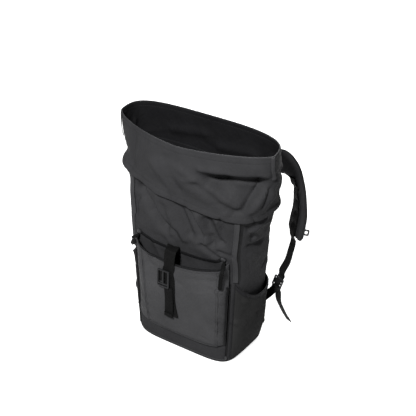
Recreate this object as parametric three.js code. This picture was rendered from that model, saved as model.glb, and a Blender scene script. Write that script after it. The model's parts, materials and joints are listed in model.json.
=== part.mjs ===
// A rolltop backpack standing on its base with the collar unrolled and the mouth open.
// Millimetres. +X is to the right seen from the front, +Y points to the back panel, +Z is up.
// The origin is the middle of the base, on the floor.
import * as THREE from 'three';
import { mergeVertices } from 'three/addons/utils/BufferGeometryUtils.js';

// Size of the bag
const BASE_WIDTH = 296;
const BASE_DEPTH = 156;
const MOUTH_WIDTH = 390;
const RIM_HEIGHT = 588;
const RIM_TILT = 14; // how much higher the rim stands at the right end than at the left
const HEM_HEIGHT = 451; // the collar's lower edge
const HEM_TILT = -29;
const COLLAR_OVERLAP = 33; // how far the body runs up inside the collar
const HALF_GIRTH = 420; // the cloth from the middle of the front to the middle of the back, at the pocket
const BASE_ROUND = 7;
const BASE_PLATE = 4;
const BODY_TUCK = 1.8; // how far the body draws in inside the collar

// Cloth, webbing and clearances
const BODY_CLOTH = 2.4;
const COLLAR_CLOTH = 2.0;
const POCKET_CLOTH = 2.2;
const STRETCH_CLOTH = 2.0;
const COVER_CLOTH = 2.4;
const TAPE = 1.5; // zip tape with its coil
const WEBBING = 2.0;
const GAP = 0.4; // between pieces that are sewn or seated together
const HEM_LIFT = 2.2; // the hem stands off the body
const RIM_BAND_HEIGHT = 13;
const RIM_BAND_CLOTH = 3.2;
const RIM_STRIP_WIDTH = 6;
const RIM_STRIP_LENGTH = 52;

// Front pocket
const POCKET_FLOOR = 56;
const POCKET_MOUTH = 285;
const MOUTH_RISE = 27; // the mouth's ends stand higher than its lowest point
const MOUTH_SWAY = 12; // that point lies left of the middle
const FLOOR_RISE = 12;
const POCKET_DEPTH = 25;
const POCKET_HALF = 122; // along the cloth, from the middle of the front to a gusset's rear edge
const SEAM_LEFT = 86; // along the cloth, to the seam between front panel and gusset
const SEAM_RIGHT = 104;
const POCKET_BASE = 4.5; // the sewn edge under the pocket
const QUICK_LIP = 7; // the right gusset's rear edge stands open

// Zips
const ZIP_TAPE_WIDTH = 6;
const REAR_TAPE_RISE = 20; // the rear tape above the mouth's lowest point
const REAR_TAPE_END = 5; // and above its ends
const REAR_TAPE_INSET = 8; // from the gussets' rear edges
const SLIDER_LONG = 11;
const SLIDER_WIDE = 8;
const SLIDER_THICK = 4;
const SLIDER_INSET = 6; // from the gusset's rear edge
const PULL_WIDTH = 9;
const PULL_LENGTH = 60;
const PULL_THICK = 2;
const PULL_LEAN_RIGHT = -3; // degrees outwards from straight down
const PULL_LEAN_LEFT = 32;
const COVER_START = 131; // at its foot
const COVER_LEAN = 6; // its head lies this much further forward
const COVER_WIDTH = 10;
const COVER_FOOT = 260;
const QUICK_ZIP_FOOT = 14;
const QUICK_ZIP_HEAD = 254;

// Bottle pockets
const BOTTLE_FRONT = 136;
const BOTTLE_BACK = 284;
const BOTTLE_HEM = 182;
const BOTTLE_FRONT_RISE = 70;
const BOTTLE_BACK_RISE = 18;
const BOTTLE_BULGE = 9;
const BOTTLE_FOOT = 12;

// Closure strap and buckle on the front
const CLOSURE_WIDTH = 28;
const CLOSURE_ALONG = -13; // along the cloth, to the strap's middle on the pocket
const CLOSURE_ROOT = 283;
const CLOSURE_ARCH = 323;
const TAIL_FOOT = 127;
const BUCKLE_WIDTH = 32;
const BUCKLE_HEIGHT = 48;
const BUCKLE_THICK = 4;
const BUCKLE_BAR = 4.4;
const BUCKLE_SLOT = 3.6; // the low slot under the two windows
const BUCKLE_MIDDLE = 242;
const BUCKLE_ASIDE = -25;
const BUCKLE_TILT = 3.5; // its foot stands off the pocket

// Back panel, handle and rear strap
const PAD_HALF = 104;
const PAD_THICK = 13;
const PAD_FOOT = 42;
const PAD_HEAD = 384;
const HANDLE_HALF = 40;
const HANDLE_SEWN = 12;
const HANDLE_REACH = 30;
const HANDLE_WIDTH = 24;
const HANDLE_HEIGHT = HEM_HEIGHT - 26;
const REAR_STRAP_HEAD = HEM_HEIGHT - 47;
const REAR_STRAP_FOOT = 150;
const HOOK_WIDTH = 36;
const HOOK_HEIGHT = 26;
const HOOK_THICK = 4;
const HOOK_BAR = 4.5;

// Shoulder straps and their webbing
const STRAP_WIDTH = 62;
const STRAP_THICK = 12;
const STRAP_CHAMFER = 2.6;
const STRAP_WAIST = 0.16; // how much narrower it is where it bends
const STRAP_ROOT_X = 66;
const STRAP_ROOT_Y = 84;
const STRAP_ROOT_Z = 412;
const STRAP_SPREAD = 121; // how far it falls outwards from its root
const STRAP_REACH = 76; // how far it stands behind the back
const STRAP_DROP = 146; // from its root to its lower end
const HARNESS_WEBBING = 22;
const WEBBING_START = 0.5; // where the sewn webbing starts, as a share of the shoulder strap's length
const LOCK_WIDTH = 32;
const LOCK_WINDOW = 8;
const LOCK_BAR = 4;
const LOCK_THICK = 3;
const LOCK_ASIDE = 13; // beyond half the base width
const LOCK_REACH = 40; // behind the back
const LOCK_HEIGHT = 135;
const ANCHOR_FOOT = 44;
const ANCHOR_HEAD = 68;
const ANCHOR_X = 120;
const TAIL_SPREAD = 31;
const TAIL_REACH = 17;
const STERNUM_WIDTH = 14;
const STERNUM_HEIGHT = 17;
const STERNUM_BAR = 3.5;
const STERNUM_THICK = 4;
const STERNUM_AT = 0.9; // share of the shoulder strap's length

// The form of the bag from base to rim. level is a share of RIM_HEIGHT, flare the share of the way from the
// base width to the mouth width, front and back shares of half the base depth, and the squares are exponents
// of the plan's corners. taper makes the plan wider behind than in front, turn twists it towards one side and
// sway slides it sideways, as a share of MOUTH_WIDTH.
const FORM = [
  { level: 0.00, flare: -0.04, front: 1.10, back: 0.96, frontSquare: 5.6, backSquare: 4.6, taper: 0.10, turn: 0.000, sway: -0.010 },
  { level: 0.10, flare: 0.02, front: 1.07, back: 0.98, frontSquare: 5.0, backSquare: 4.8, taper: 0.09, turn: 0.000, sway: -0.006 },
  { level: 0.26, flare: 0.06, front: 1.04, back: 1.00, frontSquare: 4.4, backSquare: 5.0, taper: 0.08, turn: 0.000, sway: -0.004 },
  { level: 0.48, flare: 0.19, front: 0.99, back: 1.00, frontSquare: 3.8, backSquare: 5.0, taper: 0.08, turn: 0.000, sway: -0.006 },
  { level: 0.59, flare: 0.32, front: 0.97, back: 1.00, frontSquare: 3.5, backSquare: 4.6, taper: 0.07, turn: -0.020, sway: -0.008 },
  { level: 0.74, flare: 0.64, front: 0.98, back: 1.00, frontSquare: 2.8, backSquare: 4.2, taper: 0.05, turn: -0.050, sway: -0.004 },
  { level: 0.86, flare: 0.90, front: 0.98, back: 0.98, frontSquare: 2.0, backSquare: 3.8, taper: 0.02, turn: -0.060, sway: 0.000 },
  { level: 1.00, flare: 1.00, front: 0.90, back: 0.94, frontSquare: 1.45, backSquare: 3.4, taper: 0.00, turn: -0.085, sway: -0.018 },
];

// The main dents and folds, each along a line from one place on the bag to another. round is the place round
// the bag, from 0 in the middle of the front to 1 in the middle of the back, minus on the left; level is a
// share of RIM_HEIGHT, spread a share of MOUTH_WIDTH, and depth a share of BASE_DEPTH, minus going in.
const FOLDS = [
  { name: 'dent under the rim', round: 0.17, level: 0.886, toRound: 0.385, toLevel: 0.900, spread: 0.050, depth: -0.090 },
  { name: 'brow over the dent', round: 0.18, level: 0.940, toRound: 0.40, toLevel: 0.948, spread: 0.036, depth: 0.018 },
  { name: 'long crease of the collar', round: -0.10, level: 0.886, toRound: 0.23, toLevel: 0.806, spread: 0.044, depth: 0.028 },
  { name: 'valley above that crease', round: -0.04, level: 0.928, toRound: 0.10, toLevel: 0.890, spread: 0.040, depth: -0.018 },
  { name: 'valley to the right end', round: 0.375, level: 0.893, toRound: 0.29, toLevel: 0.806, spread: 0.042, depth: -0.036 },
  { name: 'valley on the left of the body', round: -0.225, level: 0.757, toRound: -0.055, toLevel: 0.621, spread: 0.056, depth: -0.050 },
  { name: 'ridge beside that valley', round: -0.100, level: 0.765, toRound: 0.030, toLevel: 0.640, spread: 0.050, depth: 0.024 },
  { name: 'swell over the pocket mouth', round: 0.13, level: 0.587, toRound: 0.225, toLevel: 0.577, spread: 0.070, depth: 0.046 },
  { name: 'side crease under the rim', round: 0.34, level: 0.831, toRound: 0.43, toLevel: 0.870, spread: 0.036, depth: -0.024 },
  { name: 'side crease at the hem', round: 0.38, level: 0.740, toRound: 0.47, toLevel: 0.760, spread: 0.040, depth: -0.024 },
  { name: 'left side crease', round: -0.42, level: 0.70, toRound: -0.34, toLevel: 0.76, spread: 0.045, depth: -0.026 },
  { name: 'left crease under the rim', round: -0.46, level: 0.87, toRound: -0.33, toLevel: 0.84, spread: 0.045, depth: -0.024 },
];

// The shoulder strap from its root. across, back and fall are shares of STRAP_SPREAD, STRAP_REACH and
// STRAP_DROP, and wx, wy, wz give the direction of the strap's width.
const SHOULDER = [
  { across: 0.00, back: 0.00, fall: 0.00, wx: -0.66, wy: 0.00, wz: 0.75 },
  { across: 0.21, back: 0.12, fall: -0.24, wx: -0.60, wy: 0.00, wz: 0.80 },
  { across: 0.48, back: 0.22, fall: -0.47, wx: -0.36, wy: 0.00, wz: 0.93 },
  { across: 0.62, back: 0.34, fall: -0.53, wx: -0.16, wy: 0.05, wz: 0.98 },
  { across: 0.72, back: 0.56, fall: -0.42, wx: 0.18, wy: -0.12, wz: 0.97 },
  { across: 0.84, back: 0.78, fall: -0.24, wx: 0.52, wy: -0.44, wz: 0.73 },
  { across: 0.95, back: 0.91, fall: 0.00, wx: 0.68, wy: -0.66, wz: 0.33 },
  { across: 0.99, back: 0.94, fall: 0.27, wx: 0.74, wy: -0.66, wz: 0.14 },
  { across: 1.00, back: 0.96, fall: 0.51, wx: 0.77, wy: -0.63, wz: 0.06 },
  { across: 0.97, back: 0.95, fall: 0.79, wx: 0.80, wy: -0.60, wz: 0.00 },
  { across: 0.95, back: 0.92, fall: 1.00, wx: 0.80, wy: -0.60, wz: 0.00 },
];

// The webbing's way from the shoulder strap's end down to the lock, in shares of LOCK_HEIGHT from the lock
const HANG = [
  { across: 0.130, back: 0.265, rise: 0.87 },
  { across: 0.110, back: 0.225, rise: 0.62 },
  { across: 0.090, back: 0.160, rise: 0.42 },
  { across: 0.035, back: 0.075, rise: 0.22 },
];

// The webbing's free tail from the lock to the floor, in shares of TAIL_SPREAD, TAIL_REACH and LOCK_HEIGHT
const TAIL = [
  { across: 0.06, back: 0.02, fall: 0.18 },
  { across: 0.15, back: 0.12, fall: 0.44 },
  { across: 0.40, back: 0.38, fall: 0.63 },
  { across: 0.72, back: 0.70, fall: 0.83 },
  { across: 1.00, back: 1.00, fall: 0.98 },
];

// How far the pocket stands out of its full depth, from its floor to its mouth
const POCKET_PROFILE = [
  { rise: 0.00, depth: 0.20 },
  { rise: 0.08, depth: 0.50 },
  { rise: 0.40, depth: 0.82 },
  { rise: 1.00, depth: 1.00 },
];

// Value of each column of a table at a position, on a smooth curve through its rows
function sample(table, key, at) {
  const last = table.length - 1;
  let i = 0;
  while (i < last - 1 && at > table[i + 1][key]) i += 1;
  const a = table[i];
  const b = table[i + 1];
  const span = b[key] - a[key];
  const t = Math.min(1, Math.max(0, (at - a[key]) / span));
  const before = table[Math.max(0, i - 1)];
  const after = table[Math.min(last, i + 2)];
  const out = {};
  for (const column of Object.keys(a)) {
    const slopeA = (b[column] - before[column]) / (b[key] - before[key]);
    const slopeB = (after[column] - a[column]) / (after[key] - a[key]);
    out[column] = (2 * t ** 3 - 3 * t ** 2 + 1) * a[column] + (t ** 3 - 2 * t ** 2 + t) * span * slopeA
      + (3 * t ** 2 - 2 * t ** 3) * b[column] + (t ** 3 - t ** 2) * span * slopeB;
  }
  return out;
}

const vector = (x, y, z) => new THREE.Vector3(x, y, z);
const range = (count, from, to) => Array.from({ length: count + 1 }, (_, i) => from + (to - from) * i / count);
const lerp = (a, b, t) => a + (b - a) * t;

// Outwards push of the folds at a place on the bag whose half girth is half
function foldDepth(round, level, half) {
  let depth = 0;
  for (const fold of FOLDS) {
    const run = (fold.toRound - fold.round) * half;
    const climb = (fold.toLevel - fold.level) * RIM_HEIGHT;
    const right = (round - fold.round) * half;
    const up = (level - fold.level) * RIM_HEIGHT;
    const length = Math.hypot(run, climb);
    const share = (right * run + up * climb) / length ** 2;
    const beside = (right * climb - up * run) / length;
    const past = Math.max(0, -share, share - 1) * length;
    const spread = fold.spread * MOUTH_WIDTH;
    depth += fold.depth * BASE_DEPTH * Math.exp(-(beside ** 2 + past ** 2) / spread ** 2);
  }
  return depth;
}

// The heights and columns at which the bag's cloth bends. Between them it is flat, and all that lies on it
// follows the same facets
const COLUMNS = 64;
const COLUMN_STEP = 2 * HALF_GIRTH / COLUMNS;
const LEVELS = [
  0, 0.0035, 0.012, 0.13, 0.30, 0.44, 0.52, 0.58, 0.64, 0.70, 0.76, 0.80, 0.835, 0.87, 0.90, 0.93, 0.965, 1,
];
const OUTLINE_STEPS = 240;

// Distance along a closed outline to each of its points
function lengthsOf(points) {
  const lengths = [0];
  points.forEach((p, i) => {
    const next = points[(i + 1) % points.length];
    lengths.push(lengths[i] + Math.hypot(next.x - p.x, next.y - p.y));
  });
  return lengths;
}

// Points at even distances round the bag at one level, from the middle of the back round by the left
function levelRing(level) {
  const form = sample(FORM, 'level', level);
  const under = Math.max(0, 1 - level * RIM_HEIGHT / BASE_ROUND);
  const inset = BASE_ROUND * (1 - Math.sqrt(1 - under * under));
  const halfDepth = BASE_DEPTH / 2;
  const halfWidth = lerp(BASE_WIDTH, MOUTH_WIDTH, form.flare) / 2 - inset;
  const frontReach = halfDepth * form.front - inset;
  const backReach = halfDepth * form.back - inset;
  const plan = Array.from({ length: OUTLINE_STEPS }, (_, i) => {
    const angle = (2 * i / OUTLINE_STEPS - 1) * Math.PI;
    const isFront = Math.cos(angle) >= 0;
    const square = isFront ? form.frontSquare : form.backSquare;
    const x = halfWidth * Math.sign(Math.sin(angle)) * Math.abs(Math.sin(angle)) ** (2 / square);
    const reach = Math.abs(Math.cos(angle)) ** (2 / square);
    const y = isFront ? -frontReach * reach : backReach * reach;
    return { x: x * (1 + form.taper * y / halfDepth) + form.sway * MOUTH_WIDTH, y: y + form.turn * x };
  });
  const planLengths = lengthsOf(plan);
  const half = planLengths[OUTLINE_STEPS] / 2;
  const folded = plan.map((p, i) => {
    const next = plan[(i + 1) % OUTLINE_STEPS];
    const prev = plan[(i + OUTLINE_STEPS - 1) % OUTLINE_STEPS];
    const length = Math.hypot(next.x - prev.x, next.y - prev.y);
    const depth = foldDepth((planLengths[i] - planLengths[OUTLINE_STEPS / 2]) / half, level, half);
    return { x: p.x + depth * (next.y - prev.y) / length, y: p.y - depth * (next.x - prev.x) / length };
  });
  const lengths = lengthsOf(folded);
  const front = lengths[OUTLINE_STEPS / 2];
  return Array.from({ length: COLUMNS }, (_, c) => {
    const share = 2 * c / COLUMNS;
    const at = share < 1 ? front * share : lerp(front, lengths[OUTLINE_STEPS], share - 1);
    let low = 0;
    while (low < OUTLINE_STEPS - 1 && lengths[low + 1] <= at) low += 1;
    const [a, b] = [folded[low], folded[(low + 1) % OUTLINE_STEPS]];
    const t = (at - lengths[low]) / (lengths[low + 1] - lengths[low]);
    return { x: lerp(a.x, b.x, t), y: lerp(a.y, b.y, t) };
  });
}
const levelRings = LEVELS.map(levelRing);

// A point on the bag: along is the distance over the cloth from the middle of the front, plus to the right, as
// a share of HALF_GIRTH for the whole half, and out the distance outwards from the cloth's outer face
function onBag(along, z, out) {
  const level = z / RIM_HEIGHT;
  let row = 0;
  while (row < LEVELS.length - 2 && LEVELS[row + 1] <= level) row += 1;
  const up = (level - LEVELS[row]) / (LEVELS[row + 1] - LEVELS[row]);
  const point = (c) => {
    const [a, b] = [levelRings[row][(c + 2 * COLUMNS) % COLUMNS], levelRings[row + 1][(c + 2 * COLUMNS) % COLUMNS]];
    return { x: lerp(a.x, b.x, up), y: lerp(a.y, b.y, up) };
  };
  const normalAt = (c) => {
    const [a, b] = [point(c - 1), point(c + 1)];
    const length = Math.hypot(b.x - a.x, b.y - a.y);
    return { x: (b.y - a.y) / length, y: -(b.x - a.x) / length };
  };
  const at = COLUMNS / 2 + along / COLUMN_STEP;
  const low = Math.floor(at);
  const t = at - low;
  const [a, b, na, nb] = [point(low), point(low + 1), normalAt(low), normalAt(low + 1)];
  return vector(
    lerp(a.x, b.x, t) + lerp(na.x, nb.x, t) * out,
    lerp(a.y, b.y, t) + lerp(na.y, nb.y, t) * out,
    z,
  );
}
const onBack = (x, z, out) => onBag(HALF_GIRTH - x, z, out);

// Both ends of a stretch and the bag's own columns or levels between them
const NEAREST = 1;
function withSteps(from, to, steps) {
  const [low, high] = [Math.min(from, to), Math.max(from, to)];
  const inside = steps.filter((step) => step > low + NEAREST && step < high - NEAREST);
  return from < to ? [low, ...inside, high] : [high, ...inside.reverse(), low];
}
const columnsBetween = (from, to) => withSteps(from, to, range(COLUMNS, -HALF_GIRTH, HALF_GIRTH));
const levelsBetween = (from, to) => withSteps(from, to, LEVELS.map((level) => level * RIM_HEIGHT));

// One closed body from points and triangles, with its faces pointing out
function closedGeometry(positions, index) {
  let volume = 0;
  for (let i = 0; i < index.length; i += 3) {
    const [a, b, c] = [positions[index[i]], positions[index[i + 1]], positions[index[i + 2]]];
    volume += a.dot(vector().crossVectors(b, c)) / 6;
  }
  const faces = volume < 0 ? index.slice().reverse() : index;
  const geometry = new THREE.BufferGeometry();
  geometry.setAttribute('position', new THREE.Float32BufferAttribute(positions.flatMap((p) => [p.x, p.y, p.z]), 3));
  geometry.setIndex(faces);
  const merged = mergeVertices(geometry, 1e-4);
  merged.computeVertexNormals();
  return merged;
}

// A wall between two grids of points with the same rows and columns. wrap joins the last column to the first
function wall(outer, inner, wrap = false) {
  const rows = outer.length;
  const columns = outer[0].length;
  const at = (side, r, c) => side * rows * columns + r * columns + (c % columns);
  const index = [];
  const quad = (a, b, c, d) => index.push(a, b, c, a, c, d);
  const lastColumn = wrap ? columns : columns - 1;
  for (let r = 0; r < rows - 1; r += 1) {
    for (let c = 0; c < lastColumn; c += 1) {
      quad(at(0, r, c), at(0, r, c + 1), at(0, r + 1, c + 1), at(0, r + 1, c));
      quad(at(1, r, c), at(1, r + 1, c), at(1, r + 1, c + 1), at(1, r, c + 1));
    }
  }
  for (let c = 0; c < lastColumn; c += 1) {
    quad(at(0, 0, c + 1), at(0, 0, c), at(1, 0, c), at(1, 0, c + 1));
    quad(at(0, rows - 1, c), at(0, rows - 1, c + 1), at(1, rows - 1, c + 1), at(1, rows - 1, c));
  }
  for (let r = 0; !wrap && r < rows - 1; r += 1) {
    quad(at(0, r, 0), at(0, r + 1, 0), at(1, r + 1, 0), at(1, r, 0));
    quad(at(0, r + 1, columns - 1), at(0, r, columns - 1), at(1, r, columns - 1), at(1, r + 1, columns - 1));
  }
  return closedGeometry([...outer.flat(), ...inner.flat()], index);
}

// A closed body through rings of points, capped by fans at both ends
function loft(rings) {
  const count = rings[0].length;
  const positions = rings.flat();
  const index = [];
  for (let r = 0; r < rings.length - 1; r += 1) {
    for (let c = 0; c < count; c += 1) {
      const a = r * count + c;
      const b = r * count + (c + 1) % count;
      index.push(a, b, b + count, a, b + count, a + count);
    }
  }
  for (const [r, isFoot] of [[0, true], [rings.length - 1, false]]) {
    const centre = vector();
    rings[r].forEach((p) => centre.add(p));
    positions.push(centre.divideScalar(count));
    const hub = positions.length - 1;
    for (let c = 0; c < count; c += 1) {
      const a = r * count + c;
      const b = r * count + (c + 1) % count;
      if (isFoot) index.push(hub, b, a);
      else index.push(hub, a, b);
    }
  }
  return closedGeometry(positions, index);
}

// A slab lying on the bag, between distances along the cloth and heights; foot and top give its two faces
function patch(alongs, heights, foot, top) {
  const grid = (out) => heights.map((h) => alongs.map((s) => {
    const z = typeof h === 'function' ? h(s) : h;
    return onBag(s, z, out(s, z));
  }));
  return wall(grid(top), grid(foot));
}

// Direction of travel, side and face of a band at one of its points
function bandFrame(points, sides, i) {
  const next = points[Math.min(i + 1, points.length - 1)];
  const prev = points[Math.max(i - 1, 0)];
  const along = next.clone().sub(prev).normalize();
  const side = sides[i].clone().addScaledVector(along, -sides[i].dot(along)).normalize();
  return { side, face: vector().crossVectors(along, side).normalize() };
}

// A flat band swept along points, with the direction of its width at each of them
function band(points, sides, width, thick, options = {}) {
  const { chamfer = 0, widthAt = () => 1, thickAt = () => 1 } = options;
  return loft(points.map((p, i) => {
    const { side, face } = bandFrame(points, sides, i);
    const share = i / (points.length - 1);
    const w = width / 2 * widthAt(share);
    const t = thick / 2 * thickAt(share);
    const corners = chamfer
      ? [[w, t - chamfer], [w - chamfer, t], [-w + chamfer, t], [-w, t - chamfer],
        [-w, -t + chamfer], [-w + chamfer, -t], [w - chamfer, -t], [w, -t + chamfer]]
      : [[w, t], [-w, t], [-w, -t], [w, -t]];
    return corners.map(([a, b]) => p.clone().addScaledVector(side, a).addScaledVector(face, b));
  }));
}
const curveOf = (points) => new THREE.CatmullRomCurve3(points, false, 'centripetal');
const smoothPath = (points, count) => curveOf(points).getSpacedPoints(count);

// A flat frame of bars: a grid of cells between the xs and ys, all of them filled but those of the windows
function barFrame(xs, ys, windows, thick, place) {
  const columns = xs.length - 1;
  const rows = ys.length - 1;
  const isFilled = (c, r) => c >= 0 && r >= 0 && c < columns && r < rows
    && !windows.some(([wc, wr]) => wc === c && wr === r);
  const positions = [-thick / 2, thick / 2]
    .flatMap((z) => ys.flatMap((y) => xs.map((x) => vector(x, y, z).applyMatrix4(place))));
  const at = (c, r, face) => face * xs.length * ys.length + r * xs.length + c;
  const index = [];
  const quad = (p, q, r, s) => index.push(p, q, r, p, r, s);
  for (let r = 0; r < rows; r += 1) {
    for (let c = 0; c < columns; c += 1) {
      if (!isFilled(c, r)) continue;
      quad(at(c, r, 1), at(c + 1, r, 1), at(c + 1, r + 1, 1), at(c, r + 1, 1));
      quad(at(c, r, 0), at(c, r + 1, 0), at(c + 1, r + 1, 0), at(c + 1, r, 0));
      if (!isFilled(c, r - 1)) quad(at(c, r, 0), at(c + 1, r, 0), at(c + 1, r, 1), at(c, r, 1));
      if (!isFilled(c, r + 1)) quad(at(c, r + 1, 1), at(c + 1, r + 1, 1), at(c + 1, r + 1, 0), at(c, r + 1, 0));
      if (!isFilled(c - 1, r)) quad(at(c, r, 0), at(c, r, 1), at(c, r + 1, 1), at(c, r + 1, 0));
      if (!isFilled(c + 1, r)) quad(at(c + 1, r, 1), at(c + 1, r, 0), at(c + 1, r + 1, 0), at(c + 1, r + 1, 1));
    }
  }
  const used = [...new Set(index)].sort((p, q) => p - q);
  const renumber = new Map(used.map((old, i) => [old, i]));
  return closedGeometry(used.map((i) => positions[i]), index.map((i) => renumber.get(i)));
}

// A placement with its x along across and its y as near to up as it can be, at a point
function placement(at, across, up) {
  const x = across.clone().normalize();
  const y = up.clone().addScaledVector(x, -up.dot(x)).normalize();
  return new THREE.Matrix4().makeBasis(x, y, vector().crossVectors(x, y)).setPosition(at);
}

// Materials
const finish = (color, roughness, metalness = 0) => new THREE.MeshStandardMaterial({ color, roughness, metalness });
const materials = {
  cloth: finish('#3a3a3c', 0.72),
  collar: finish('#343436', 0.66),
  stretch: finish('#333335', 0.85),
  mesh: finish('#2a2a2c', 0.9),
  webbing: finish('#262628', 0.8),
  zip: finish('#1c1c1e', 0.55),
  buckle: finish('#3a3a3e', 0.35, 0.8),
  plastic: finish('#1b1b1d', 0.5),
};
const bag = new THREE.Group();
function add(name, geometry, material) {
  const mesh = new THREE.Mesh(geometry, materials[material]);
  mesh.name = name;
  bag.add(mesh);
}
const sideNames = [['right', 1], ['left', -1]];

// Body: a cup of cloth on a stiff base plate
const bodyTop = HEM_HEIGHT + COLLAR_OVERLAP;
function bodyRing(z, out) {
  const tuck = BODY_TUCK * Math.min(1, Math.max(0, (z - HEM_HEIGHT) / COLLAR_OVERLAP + 0.4));
  return Array.from({ length: COLUMNS }, (_, c) => onBag(c * COLUMN_STEP, z, out - tuck));
}
const bodyHeights = levelsBetween(0, bodyTop);
const linedHeights = [BASE_PLATE, ...bodyHeights.filter((z) => z > BASE_PLATE + BASE_ROUND)];
add('body_shell', loft([
  ...bodyHeights.map((z) => bodyRing(z, 0)),
  ...linedHeights.map((z) => bodyRing(z, -BODY_CLOTH)).reverse(),
]), 'cloth');

// Collar: the unrolled top, sewn over the body at its hem, with a band round its rim
const COLLAR_STEPS = 8;
const HEM_TUCK = 0.2; // share of the collar's height over which its hem closes on the body
const tilted = (along, tilt) => tilt / 2 * Math.sin(along / HALF_GIRTH * Math.PI);
const hemAt = (along) => HEM_HEIGHT + tilted(along, HEM_TILT);
const rimAt = (along) => RIM_HEIGHT - RIM_TILT / 2 + tilted(along, RIM_TILT);
const bandFoot = (along) => rimAt(along) - RIM_BAND_HEIGHT;
function collarGrid(foot, head, steps, out) {
  return range(steps, 0, 1).map((rise) => Array.from({ length: COLUMNS }, (_, c) => {
    const s = c * COLUMN_STEP;
    return onBag(s, lerp(foot(s), head(s), rise), out(rise));
  }));
}
const collarInside = (rise) => GAP + HEM_LIFT * Math.max(0, 1 - rise / HEM_TUCK);
add('collar', wall(
  collarGrid(hemAt, (s) => bandFoot(s) - GAP, COLLAR_STEPS, (rise) => collarInside(rise) + COLLAR_CLOTH),
  collarGrid(hemAt, (s) => bandFoot(s) - GAP, COLLAR_STEPS, collarInside),
  true,
), 'collar');
const bandInside = GAP - (RIM_BAND_CLOTH - COLLAR_CLOTH) / 2;
function rimGrid(out) {
  return [bandFoot, rimAt].map((edge) => Array.from({ length: COLUMNS }, (_, c) => {
    const s = c * COLUMN_STEP;
    return onBag(s, edge(s), out);
  }));
}
add('rim_band', wall(rimGrid(bandInside + RIM_BAND_CLOTH), rimGrid(bandInside), true), 'collar');

// Strips sewn down the two ends of the rim
const RIM_STRIP_ROUND = 0.445; // where they lie, as a share of half the girth
function rimStrip(side) {
  const out = bandInside + RIM_BAND_CLOTH + GAP * 1.5;
  const start = side * RIM_STRIP_ROUND * HALF_GIRTH;
  const head = rimAt(start);
  const grid = (lift) => levelsBetween(head - RIM_STRIP_LENGTH, head)
    .map((z) => [0, RIM_STRIP_WIDTH].map((across) => onBag(start + across, z, lift)));
  return wall(grid(out + TAPE), grid(out));
}
for (const [name, side] of sideNames) add(`rim_strip_${name}`, rimStrip(side), 'collar');

// Front pocket: front panel, two gussets and a sewn foot in one wall, open at the top
const seamOf = (s) => (s > 0 ? SEAM_RIGHT : SEAM_LEFT);
const gussetShare = (s) => Math.max(0, (Math.abs(s) - seamOf(s)) / (POCKET_HALF - seamOf(s)));
const pocketMouth = (s) => POCKET_MOUTH + MOUTH_RISE * ((s + MOUTH_SWAY) / POCKET_HALF) ** 2;
const pocketFloor = (s) => POCKET_FLOOR + FLOOR_RISE * (s / POCKET_HALF) ** 4;
const GUSSET_CURVE = 1.5;
const PANEL_CROWN = 0.1; // how much less the panel stands out at its seams than in its middle
function pocketOut(s, z) {
  const rise = Math.min(1, Math.max(0, (z - pocketFloor(s)) / (pocketMouth(s) - pocketFloor(s))));
  const depth = POCKET_DEPTH * sample(POCKET_PROFILE, 'rise', rise).depth;
  const crown = 1 - PANEL_CROWN * Math.min(1, Math.abs(s) / seamOf(s)) ** 2;
  const gusset = gussetShare(s);
  const lip = s > 0 ? QUICK_LIP * gusset ** 3 * Math.sin(Math.PI * Math.min(1, rise * 0.96)) ** 0.7 : 0;
  return GAP + POCKET_CLOTH + depth * crown * (1 - gusset ** GUSSET_CURVE) + lip;
}
const pocketAlongs = [
  ...[1, 0.8, 0.55, 0.25].map((share) => -lerp(SEAM_LEFT, POCKET_HALF, share)),
  ...columnsBetween(-SEAM_LEFT, SEAM_RIGHT),
  ...[0.25, 0.55, 0.8, 1].map((share) => lerp(SEAM_RIGHT, POCKET_HALF, share)),
];
const pocketHeight = (s, share) => lerp(pocketFloor(s), pocketMouth(s), share);
const sewnShare = POCKET_BASE / (POCKET_MOUTH - POCKET_FLOOR);
const pocketShares = [0, sewnShare, sewnShare * 1.1, 0.1, 0.22, 0.4, 0.58, 0.76, 0.9, 1];
function pocketGrid(out) {
  return pocketShares.map((share) => pocketAlongs.map((s) => {
    const z = pocketHeight(s, share);
    return onBag(s, z, share <= sewnShare ? out(s, z, true) : out(s, z, false));
  }));
}
add('front_pocket', wall(
  pocketGrid(pocketOut),
  pocketGrid((s, z, isSewn) => (isSewn ? 1.5 * GAP : Math.max(1.5 * GAP, pocketOut(s, z) - POCKET_CLOTH))),
), 'cloth');

// The pocket's zip: one tape stands on the pocket's edge, the other lies on the body behind it
const edgeAlongs = pocketAlongs.filter((s) => Math.abs(s) <= POCKET_HALF - SLIDER_INSET - SLIDER_LONG);
function edgeTape(inward) {
  return [GAP, ZIP_TAPE_WIDTH].map((rise) => edgeAlongs.map((s) => {
    const z = pocketMouth(s) + rise;
    return onBag(s, z, Math.max(GAP + TAPE, pocketOut(s, z)) - inward);
  }));
}
add('pocket_zip_edge', wall(edgeTape((POCKET_CLOTH - TAPE) / 2), edgeTape((POCKET_CLOTH + TAPE) / 2)), 'zip');
function rearTapeFoot(s) {
  const share = Math.min(1, Math.abs(s + MOUTH_SWAY) / POCKET_HALF);
  return pocketMouth(s) + lerp(REAR_TAPE_RISE, REAR_TAPE_END, share ** 2) + ZIP_TAPE_WIDTH * share ** 6;
}
add('pocket_zip_body', patch(
  columnsBetween(REAR_TAPE_INSET - POCKET_HALF, POCKET_HALF - REAR_TAPE_INSET),
  [rearTapeFoot, (s) => rearTapeFoot(s) + ZIP_TAPE_WIDTH],
  () => GAP,
  () => GAP + TAPE,
), 'zip');

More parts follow.
